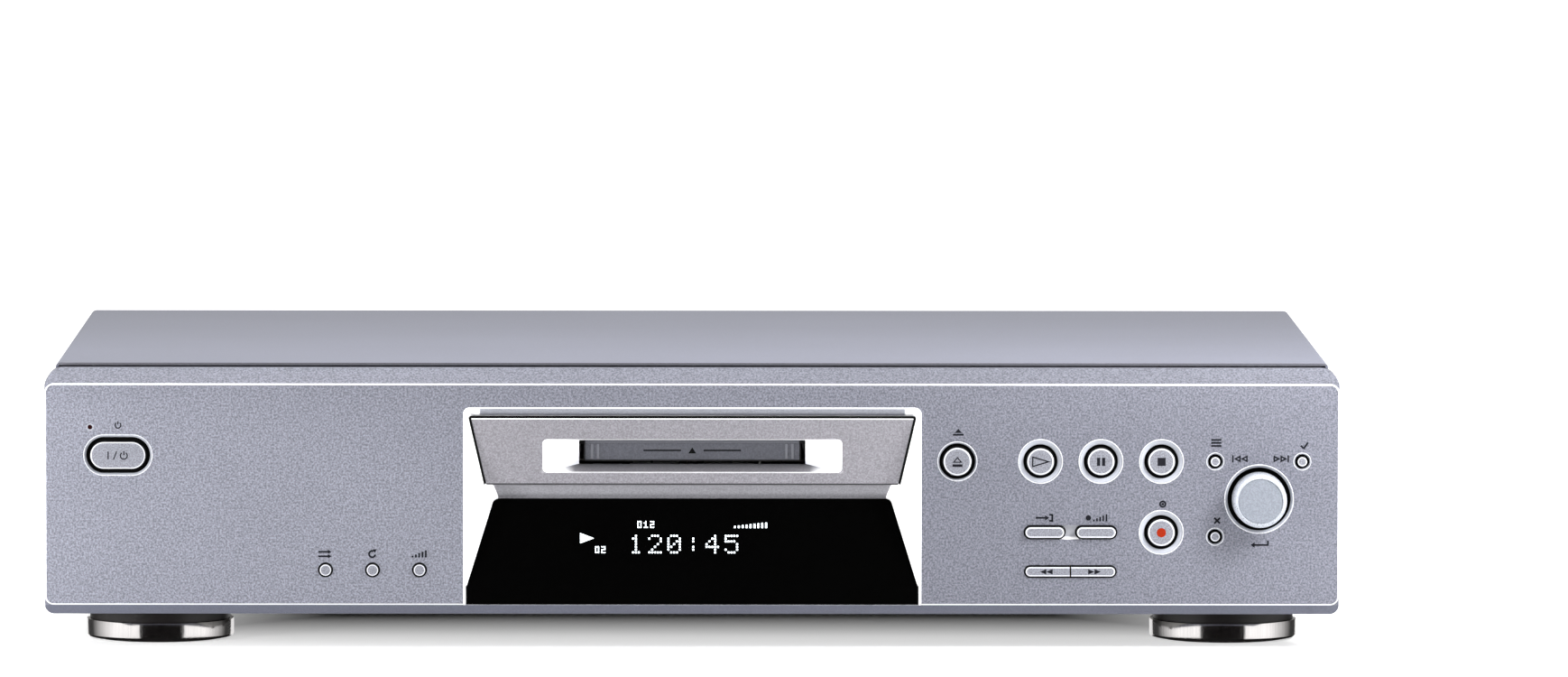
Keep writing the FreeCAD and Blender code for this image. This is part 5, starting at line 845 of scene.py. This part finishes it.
def key_front(radius, bevel, proud):
    """Half the section of a key without its stem: face, bevel, side and collar."""
    flat = radius - bevel
    collar = radius + COLLAR_REACH
    rounded = [(flat + bevel * out, proud - bevel * down) for out, down in BEVEL_CURVE]
    return [(0, proud), (flat - 0.12, proud), (flat - 0.06, proud - 0.05), (flat, proud - 0.03), *rounded,
            (radius, proud - bevel), (radius, -0.3), (radius, -PANEL), (collar, -PANEL), (collar, -COLLAR)]


def key_stem(radius=STEM):
    """Half the section of a key's stem."""
    return [(radius, -COLLAR), (radius, -STEM_END), (0, -STEM_END)]


def paint_highlight_and_shade(made, radius, bevel, proud, apart=0.0):
    """Gives a painted highlight to the faces round the flat part, and black painted shade to those in the
    gap.
    """
    for side in made.faces:
        if side.calc_center_median().z < (proud - bevel * SHOWN) * mm:
            side.material_index = PAINTED_SHADE
        elif reach(side, apart) > (radius - bevel - EDGE) * mm:
            side.material_index = PAINTED_HIGHLIGHT


def set_key(cap, key, x, z):
    """Sets a key into the front, riding on its own body."""
    node = key + "_button"
    finished(moved(cap, x, face, z, FRONT), key + "_key", node, KEY_LOOKS, [node])


round_keys = [  # names, radius, width of the bevel, and how far they stand out
    (("play", "pause", "stop", "record"), 4.8, 0.85, HIGH),
    (("eject",), 5.0, 0.85, HIGH),
    (("menu", "yes", "clear"), 1.75, 0.5, LOW),
    (("play_mode", "repeat", "level"), 2.1, 0.5, LOW),
]
for keys, radius, bevel, proud in round_keys:
    for key in keys:
        cap = turned(key_front(radius, bevel, proud) + key_stem(min(STEM, radius - STEM_MARGIN)))
        paint_highlight_and_shade(cap, radius, bevel, proud)
        set_key(cap, key, *middle(key + "_button"))

# %% [markdown]
# ## Keys with round ends
# The power key and the two flat pill keys are turned the same way and pulled apart. The pair under
# the pills is one long pill with a split in its middle: it is turned whole, then a plane cuts it and
# the cut is closed.

# %% Turn the long keys


def long_key(key, width, height, bevel):
    """A key with round ends. All but the end of its stem is pulled apart."""
    radius, apart = height / 2, (width - height) / 2
    cap = turned(key_front(radius, bevel, HIGH) + key_stem())
    pull_apart(cap, [v for v in cap.verts if v.co.z > -(COLLAR + STEM_END) / 2 * mm], apart)
    paint_highlight_and_shade(cap, radius, bevel, HIGH, apart)
    set_key(cap, key, *middle(key + "_button"))


long_key("power", 18.7, 9.4, 0.6)
long_key("input", 13.5, 4.2, 0.75)
long_key("record_mode", 13.5, 4.2, 0.75)

SPLIT = 0.25  # mm on each side
SHUTTLE_WIDTH, SHUTTLE_HEIGHT, SHUTTLE_BEVEL = 30.3, 3.7, 0.65  # mm
shuttle_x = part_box("rewind_button")[1].x + SPLIT * mm
shuttle_z = middle("forward_button")[1]


def split_key(key, side):
    """One half of the split pair: round at its outer end, square and closed at the split."""
    radius, apart = SHUTTLE_HEIGHT / 2, (SHUTTLE_WIDTH - SHUTTLE_HEIGHT) / 2
    cap = turned(key_front(radius, SHUTTLE_BEVEL, LOW) + [(0, -COLLAR)], apart=apart)
    paint_highlight_and_shade(cap, radius, SHUTTLE_BEVEL, LOW, apart)
    cut = bmesh.ops.bisect_plane(cap, geom=cap.verts[:] + cap.edges[:] + cap.faces[:], dist=SAME,
                                 plane_co=(side * SPLIT * mm, 0, 0), plane_no=(side, 0, 0), clear_inner=True)
    rim = [e for e in cut["geom_cut"] if isinstance(e, bmesh.types.BMEdge)]
    for closing in bmesh.ops.holes_fill(cap, edges=rim)["faces"]:
        closing.material_index = PAINTED_SHADE
    stem = turned([(0, -COLLAR)] + key_stem(), steps=24)
    moved(stem, side * ((SHUTTLE_WIDTH - 2 * SPLIT) / 4 + SPLIT) * mm)
    whole = joined([cap, stem])
    bmesh.ops.recalc_face_normals(whole, faces=whole.faces)
    set_key(whole, key, shuttle_x, middle(key + "_button")[1])


split_key("rewind", -1)
split_key("forward", 1)

# %% [markdown]
# ## Trim rings
# Round the knob and each round key on the right sits a pressed-in ring: a fine lip with a painted highlight,
# a narrow groove, and inside it a dish that slopes down to the key, painted black as shade where it faces the
# key. The dish is drawn as a hollow curve, so that its tone runs round it softly. The power key's ring is
# pulled apart like its key, and the standby lamp has a tiny one.

# %% Turn the trim rings
# painted shade where a ring faces its key, and a painted highlight on its lip
FACING_KEY, LIP_EDGE = 0.09, 0.02  # mm: up to where a ring is black, and from where its lip is bright


def trim_ring(node, inner, outer, lip=0.35, proud=0.25, depth=1.6, apart=0.0):
    """A trim ring round a node: a pale dish, a groove and a lip with a painted highlight, and black painted
    shade where it faces the key.
    """
    groove = outer - lip
    dish = groove - 0.2
    slope = dish - inner
    section = [(inner, -depth), (inner, -depth * 0.5), (inner + 0.12, -depth * 0.42),
               (inner + slope * 0.35, -depth * 0.3), (inner + slope * 0.75, -depth * 0.1),
               (dish, 0.0), (dish + 0.06, -0.22), (groove - 0.04, -0.22), (groove, 0.05),
               (outer - lip * 0.75, proud), (outer - lip * 0.35, proud), (outer - lip * 0.12, proud - 0.08),
               (outer, 0.02), (outer, -depth)]
    made = turned(section, steps=96, closed=True, apart=apart)
    for side in made.faces:
        if reach(side, apart) < (inner + FACING_KEY) * mm:
            side.material_index = PAINTED_SHADE
        elif reach(side, apart) > (groove - LIP_EDGE) * mm:
            side.material_index = PAINTED_HIGHLIGHT
    x, z = middle(node)
    return moved(made, x, face, z, FRONT)


rings = [trim_ring(key + "_button", 5.55, 7.45) for key in ("play", "pause", "stop", "record")]
rings += [trim_ring(key + "_button", 2.25, 3.0, 0.25) for key in ("menu", "yes", "clear")]
rings += [trim_ring("eject_button", 5.8, 6.65, 0.3), trim_ring("jog_knob", 10.35, 11.55),
          trim_ring("power_button", 5.85, 6.9, 0.3, apart=4.6),
          trim_ring("standby_lamp", 0.76, 1.12, 0.1, 0.05, 0.5)]
finished(joined(rings), "bezel_rings", "deck", ["ring_silver", "rim_bright", "deep_black"],
         ["trim_rings"])

# %% [markdown]
# ## The jog knob
# The knob is one solid turning: a flecked face a little lower than its rim, a fine groove, a polished round
# shoulder with a painted highlight in its paler paint, and a plain skirt painted black as the shade in the
# gap. Only the front part shows, but the back is closed behind its hub, since every piece here is also a
# solid of its own.

# %% Turn the jog knob
KNOB_FACE, SKIRT_DARK = 7.35, 0.4  # mm: the face's radius, and where the skirt turns black
knob_outline = [(0, 10.2), (KNOB_FACE - 0.1, 10.2), (KNOB_FACE, 10.05), (KNOB_FACE + 0.12, 10.05),
                (KNOB_FACE + 0.2, 10.45), (7.75, 10.5), (8.0, 10.35), (8.3, 10.05), (8.6, 9.6), (8.8, 9.0),
                (8.9, 8.2), (9.1, 0.5), (9.16, -1.6), (9.16, -2.3), (7.6, -2.3), (7.6, 5.7), (4.6, 5.7),
                (4.6, -2.3), (3.05, -2.3), (3.05, 7.2), (0, 7.2)]
knob = turned(knob_outline, steps=128)
# a painted highlight on the shoulder, and painted shade on the skirt
for side in knob.faces:
    if side.calc_center_median().z < SKIRT_DARK * mm:
        side.material_index = PAINTED_SHADE
    elif reach(side) > KNOB_FACE * mm:
        side.material_index = PAINTED_HIGHLIGHT
knob_x, knob_z = middle("jog_knob")
finished(moved(knob, knob_x, face, knob_z, FRONT), "turned_knob", "jog",
         ["knob_metal", "knob_rim", "deep_black"], ["jog_knob"])

# %% [markdown]
# ## The bright front feet
# Each front foot is a black moulding inside a wide chromed ring. The ring's lower edge is rolled in
# and stops half a millimetre above the table; the black foot shows as a thin line above it.

# %% Turn the foot rings
RING_WALL = 1.95  # mm
ring_low, ring_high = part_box("foot_rings")
ring_reach = (ring_high.y - ring_low.y) / 2
outer, top = ring_reach / mm, ring_high.z / mm
ring_section = [(outer - RING_WALL, 1.1), (outer - 1.2, 0.5), (outer - 0.75, 0.56), (outer - 0.35, 0.75),
                (outer - 0.1, 1.05), (outer, 1.5), (outer, top - 0.15), (outer - 0.04, top - 0.05),
                (outer - 0.14, top), (outer - RING_WALL, top)]
feet = []
for foot_x in (ring_low.x + ring_reach, ring_high.x - ring_reach):
    feet.append(moved(turned(ring_section, steps=160, closed=True), foot_x, (ring_low.y + ring_high.y) / 2))
finished(joined(feet), "chromed_rings", "deck", ["ring_chrome"], ["foot_rings"])
print("ring radius", round(outer, 2))

# %% [markdown]
# ## The painted shade round the loading panel
# The loading panel is let into the recess with a thin gap along its top and its two slanted sides, and a
# black strip of painted shade fills it. It starts as one face with the panel's outline, whose upper corners
# are bevelled round; an inset leaves the frame, the foot of the frame goes, and the rest is pulled back.

# %% Cut the painted shade in the gap
GAP_SHADE_WIDTH, GAP_SHADE_BACK, GAP_SHADE_DEPTH, GAP_SHADE_CORNER = 0.82, 0.4, -0.05, 1.2  # mm
GAP_SHADE_FOOT, GAP_SHADE_TOP = (69.25, 54.6), (74.5, 78.14)  # mm: half width and height
FOOT_LIMIT = 55.2  # mm; faces of the frame whose middle is lower belong to its foot


def pull(made, way):
    """Draws flat faces out into closed prisms."""
    drawn = bmesh.ops.extrude_face_region(made, geom=made.faces[:])
    bmesh.ops.translate(made, verts=[v for v in drawn["geom"] if isinstance(v, bmesh.types.BMVert)], vec=way)
    bmesh.ops.recalc_face_normals(made, faces=made.faces)


gap_shade = bmesh.new()
corners = [gap_shade.verts.new((side * x * mm, 0, z * mm))
           for side, (x, z) in ((-1, GAP_SHADE_FOOT), (1, GAP_SHADE_FOOT), (1, GAP_SHADE_TOP), (-1, GAP_SHADE_TOP))]
gap_shade.faces.new(corners)
bmesh.ops.bevel(gap_shade, geom=corners[2:], offset=GAP_SHADE_CORNER * mm, offset_type="OFFSET", segments=5,
                profile=0.5, affect="VERTICES", material=-1)
inset = bmesh.ops.inset_region(gap_shade, faces=gap_shade.faces[:], thickness=GAP_SHADE_WIDTH * mm, use_even_offset=True,
                               use_boundary=True)
spare = [f for f in gap_shade.faces if f not in inset["faces"] or f.calc_center_median().z < FOOT_LIMIT * mm]
bmesh.ops.delete(gap_shade, geom=spare, context="FACES")
for corner in gap_shade.verts:
    corner.co.y = face + (LOADER_TOP_DEPTH + GAP_SHADE_DEPTH) * mm + (LOADER_TOP * mm - corner.co.z) * LOADER_SLOPE
pull(gap_shade, (0, GAP_SHADE_BACK * mm, 0))
# painted shade in the gap round the loading panel
finished(gap_shade, "loader_gap_shade", "deck", ["deep_black"])

# %% [markdown]
# ## Flat shapes for the prints
# Symbols are printed on the keys and over them. A print is a thin closed prism whose back is sunk in
# the piece that carries it, so that it never floats or flickers. Every symbol is put together from
# four flat shapes: bars, wedges and dots, which are circles of 4, 3 or many corners pulled to size,
# and arcs, which are spun from a short edge. An inset and a deleted middle leave just an outline.

# %% Helpers for prints
SUNK, RAISED = 0.1, 0.04  # mm below and above the ground


def flat(corners, start, width, height, x, y, line=0.0, lean=0.0):
    """A flat shape as wide and tall as asked, in mm, or with line only its outline that thick."""
    made = bmesh.new()
    bmesh.ops.create_circle(made, cap_ends=True, segments=corners, radius=1)
    moved(made, turn=Matrix.Rotation(math.radians(start), 4, "Z"))
    low = Vector([min(v.co[i] for v in made.verts) for i in (0, 1, 2)])
    high = Vector([max(v.co[i] for v in made.verts) for i in (0, 1, 2)])
    span = high - low
    moved(made, *(-(low + high) / 2))
    bmesh.ops.scale(made, verts=made.verts, vec=(width * mm / span.x, height * mm / span.y, 1))
    if line:
        rim = bmesh.ops.inset_region(made, faces=made.faces[:], thickness=line * mm, use_even_offset=True,
                                     use_boundary=True)
        bmesh.ops.delete(made, geom=[f for f in made.faces if f not in rim["faces"]], context="FACES")
    return moved(made, x * mm, y * mm, 0, Matrix.Rotation(math.radians(lean), 4, "Z"))


def bar(width, height, x=0.0, y=0.0, lean=0.0):
    """A bar, leaning anticlockwise by so many degrees."""
    return flat(4, 45, width, height, x, y, 0.0, lean)


def wedge(width, height, x=0.0, y=0.0, line=0.0, to=-90):
    """A triangle pointing right; to is 90 for left and 0 for up."""
    return flat(3, to, width, height, x, y, line)


def dot(width, x=0.0, y=0.0, line=0.0):
    """A round dot, or with line a ring."""
    return flat(32, 0, width, width, x, y, line)


def arc(radius, line, start, sweep, x=0.0, y=0.0):
    """Part of a ring, from an angle and as far round as asked, anticlockwise from the right."""
    made = bmesh.new()
    made.edges.new([made.verts.new((r * mm, 0, 0)) for r in (radius - line / 2, radius + line / 2)])
    moved(made, turn=Matrix.Rotation(math.radians(start), 4, "Z"))
    spin(made, math.radians(sweep), 24)
    return moved(made, x * mm, y * mm)


def raised(shapes):
    """Flat shapes made into thin closed prisms, sunk a little below their ground."""
    made = moved(joined(shapes), z=-SUNK * mm)
    pull(made, (0, 0, (SUNK + RAISED) * mm))
    return made


def stamp(shapes, x, z, proud=0.0):
    """Prints shapes on a front that stands so many mm out of the face plate."""
    return moved(raised(shapes), x, face - proud * mm, z, FRONT)


print("prints stand out by", RAISED, "mm")

# %% [markdown]
# ## The symbols on the keys
# Each symbol belongs to its key and rides with it when the key goes in. The play and eject signs are
# outlines; pause, stop and the double arrows are solid, and the record dot is orange.

# %% Print the keys
ARROWS_ASIDE = 8.0  # mm from the split
POWER_ARC = (125, 290)  # degrees: where the power sign's ring starts, and how far round it goes
key_signs = {
    "play": [wedge(6.2, 3.7, 0.3, 0, 0.42)],
    "pause": [bar(1.05, 2.7, -0.84), bar(1.05, 2.7, 0.84)],
    "stop": [bar(2.7, 2.7)],
    "record": [dot(3.1)],
    "eject": [wedge(3.3, 2.0, 0, 0.65, 0.36, 0), bar(3.3, 0.85, 0, -1.3)],
    "power": [bar(0.4, 2.6, -3.2), bar(0.36, 2.9, -0.9, 0, -22), arc(1.15, 0.4, *POWER_ARC, 2.0, -0.1),
              bar(0.4, 1.4, 2.0, 0.75)],
}
for key, shapes in key_signs.items():
    x, z = middle(key + "_button")
    look = "record_orange" if key == "record" else "print_dark"
    finished(stamp(shapes, x, z, HIGH), key + "_sign", key + "_button", [look])
for key, side in (("rewind", -1), ("forward", 1)):
    arrows = stamp([wedge(2.1, 1.8, x, 0, 0, -90 * side) for x in (-1.05, 1.05)],
                   shuttle_x + side * ARROWS_ASIDE * mm, shuttle_z, LOW)
    finished(arrows, key + "_sign", key + "_button", ["print_dark"])

# %% [markdown]
# ## The signs on the face plate
# The places over the keys hold small plain pictograms: three lines for the menu, a tick, a cross, a
# loop, rising bars. The two skip signs over the knob are drawn in outline. The flap, which lies
# deeper, has a small arrow between two lines.

# %% Print the face plate
LINE = 0.6  # mm
FLAP_PRINT_HEIGHT, FLAP_PRINT_DEPTH = 65.6, 14.7  # mm up, and behind the face


def skip_sign(side):
    """Two outlined wedges and a stop bar, pointing to one side."""
    parts = [wedge(2.3, 2.4, side * x, 0, 0.5, -90 * side) for x in (-1.4, 0.9)]
    return parts + [bar(0.5, 2.4, side * 2.35)]


def rising(left, step, width):
    """Five bars that get taller to the right."""
    return [bar(width, 0.6 + 0.45 * i, left + step * i, -0.85 + 0.225 * i) for i in range(5)]


face_signs = {  # mm across and up, and the shapes
    "eject": (88.3, 72.9, [wedge(2.4, 1.4, 0, 0.45, 0, 0), bar(3.6, LINE, 0, -0.85)]),
    "record": (156.3, 49.0, [dot(2.4, 0, 0, LINE), dot(0.9)]),
    "input": (117.3, 44.4, [bar(3.2, LINE, -1.6), wedge(1.4, 1.8, 0.6), bar(LINE, 2.4, 2.3),
                            bar(1.2, LINE, 1.9, 1.0), bar(1.2, LINE, 1.9, -1.0)]),
    "record_mode": (134.4, 44.4, [dot(1.8, -2.8)] + rising(-1.0, 1.05, 0.55)),
    "menu": (174.0, 69.4, [bar(3.4, LINE, 0, y) for y in (-1.0, 0, 1.0)]),
    "yes": (203.2, 68.4, [bar(1.3, LINE, -0.65, -0.35, -45), bar(2.6, LINE, 0.55, 0.1, 55)]),
    "clear": (174.4, 43.5, [bar(2.7, LINE, lean=45), bar(2.7, LINE, lean=-45)]),
    "enter": (188.8, 35.8, [wedge(1.4, 1.8, -2.6, -0.4, 0, 90), bar(4.8, LINE, 0.1, -0.4),
                            bar(LINE, 1.7, 2.5, 0.2)]),
    "standby": (-190.6, 75.0, [arc(0.95, 0.4, *POWER_ARC), bar(0.4, 1.1, 0, 0.75)]),
    "play_mode": (-121.9, 32.2, [bar(3.2, LINE, -0.7, 0.75), wedge(1.3, 1.4, 1.5, 0.75),
                                 bar(3.2, LINE, -0.7, -0.75), wedge(1.3, 1.4, 1.5, -0.75)]),
    "repeat": (-106.3, 32.2, [arc(1.05, LINE, 60, 290), wedge(1.3, 1.3, 0.85, 0.95, 0, -60)]),
    "level": (-90.7, 32.2, rising(-2.2, 1.1, 0.6)),
    "skip_back": (181.9, 64.1, skip_sign(-1)),
    "skip_on": (195.6, 64.1, skip_sign(1)),
}
signs = joined([stamp(shapes, x * mm, z * mm) for x, z, shapes in face_signs.values()])
finished(signs, "face_signs", "deck", ["print_dark"])

flap_sign = [bar(12.5, 0.5, -10.0), wedge(2.6, 2.0, to=0), bar(12.5, 0.5, 10.0)]
finished(stamp(flap_sign, 0, FLAP_PRINT_HEIGHT * mm, -FLAP_PRINT_DEPTH), "flap_sign", "flap", ["deep_black"])

# %% [markdown]
# ## The lit display
# A fluorescent tube lights small dots in a grid of five by seven for each figure. Here each row of a
# figure is a number whose bits are the dots. The dots lie on the window's slant, and the play mark and
# the small marks round the figures lie there too.

# %% Light the display
DOT, PITCH, STEP_ASIDE = 0.62, 0.95, 6.35  # mm
SMALL_DOT, SMALL_PITCH, SMALL_STEP = 0.36, 0.5, 2.1
WINDOW_LOW, WINDOW_LOW_DEPTH, WINDOW_LEAN = 21.8, 0.6, math.atan(10.5 / 28.2)
SLANT = Matrix.Rotation(math.radians(90) - WINDOW_LEAN, 4, "X")
DISPLAY_HEIGHT = 35.0
FIGURES = {
    "0": (14, 17, 19, 21, 25, 17, 14), "1": (4, 12, 4, 4, 4, 4, 14), "2": (14, 17, 1, 2, 4, 8, 31),
    "4": (2, 6, 10, 18, 31, 2, 2), "5": (31, 16, 30, 1, 1, 17, 14), ":": (0, 4, 4, 0, 4, 4, 0),
}
SMALL = {"0": (7, 5, 5, 5, 7), "1": (2, 6, 2, 2, 7), "2": (7, 1, 7, 4, 7)}


def figures(text, shapes, columns, size, pitch, step, left, top):
    """The lit dots of a row of figures, each from its top row down."""
    return [bar(size, size, left + place * step + (column + 0.5) * pitch, top - (row + 0.5) * pitch)
            for place, sign in enumerate(text) for row, bits in enumerate(shapes[sign])
            for column in range(columns) if bits >> (columns - 1 - column) & 1]


lit = figures("120:45", FIGURES, 5, DOT, PITCH, STEP_ASIDE, -21.1, 3.4)
lit += [wedge(4.6, 3.6, -35.0, 2.1)]
for text, left, top in (("02", -32.4, -0.6), ("012", -18.3, 8.1)):
    lit += figures(text, SMALL, 3, SMALL_DOT, SMALL_PITCH, SMALL_STEP, left, top)
lit += [bar(0.62, 0.7 + 0.15 * i, 14.2 + 1.3 * i, 6.0 + 0.075 * i) for i in range(9)]
display_depth = WINDOW_LOW_DEPTH + (DISPLAY_HEIGHT - WINDOW_LOW) * math.tan(WINDOW_LEAN)
glowing = moved(raised(lit), 0, face + display_depth * mm, DISPLAY_HEIGHT * mm, SLANT)
finished(glowing, "display_dots", "deck", ["display_glow"])

# %% [markdown]
# ## The back and the sides
# The phono sockets stand in coloured insulating rings, white for the left channel and red for the right. The
# cover's screws have cross slots, which are dark shapes of painted shade sunk in their heads.

# %% Dress the back
AWAY = Matrix.Rotation(math.radians(-90), 4, "X")  # turns a piece's top towards the back
REAR_SHEET, SOCKET_PITCH, SOCKET_MARGIN = 0.8 * mm, 14 * mm, 7 * mm
SOCKET_RING = [(5.1, 0), (5.1, 0.9), (5.3, 1.1), (6.2, 1.1), (6.4, 0.9), (6.4, 0)]
HEAD, SLOT_LENGTH, SLOT_WIDTH = 1.8, 3.0, 0.6  # mm
REAR_SCREWS, REAR_SCREW_HEIGHT = (-150, 0, 150), 89.7  # mm
SIDE_SCREWS, SIDE_SCREW_HEIGHT = (face + 60 * mm, back - 40 * mm), 22

phono_low, phono_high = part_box("phono_jacks")
for look, column in (("socket_white", 0), ("socket_red", 1)):
    x = phono_low.x + SOCKET_MARGIN + column * SOCKET_PITCH
    pair = [moved(turned(SOCKET_RING, closed=True), x, back - REAR_SHEET,
                  phono_high.z - SOCKET_MARGIN - row * SOCKET_PITCH, AWAY) for row in (0, 1)]
    finished(joined(pair), look + "_rings", "deck", [look])


def cross_slot():
    """The two crossed bars of a screw's slot, in painted shade."""
    return raised([bar(SLOT_LENGTH, SLOT_WIDTH), bar(SLOT_WIDTH, SLOT_LENGTH)])


cover_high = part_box("top_cover")[1]
# painted shade in the slots of the cover's screws
slot_shades = [moved(cross_slot(), x * mm, back + HEAD * mm, REAR_SCREW_HEIGHT * mm, AWAY) for x in REAR_SCREWS]
for side in (-1, 1):
    outwards = Matrix.Rotation(math.radians(90 * side), 4, "Y")
    slot_shades += [moved(cross_slot(), side * (cover_high.x + HEAD * mm), y, SIDE_SCREW_HEIGHT * mm, outwards)
                for y in SIDE_SCREWS]
finished(joined(slot_shades), "screw_slot_shades", "deck", ["deep_black"])
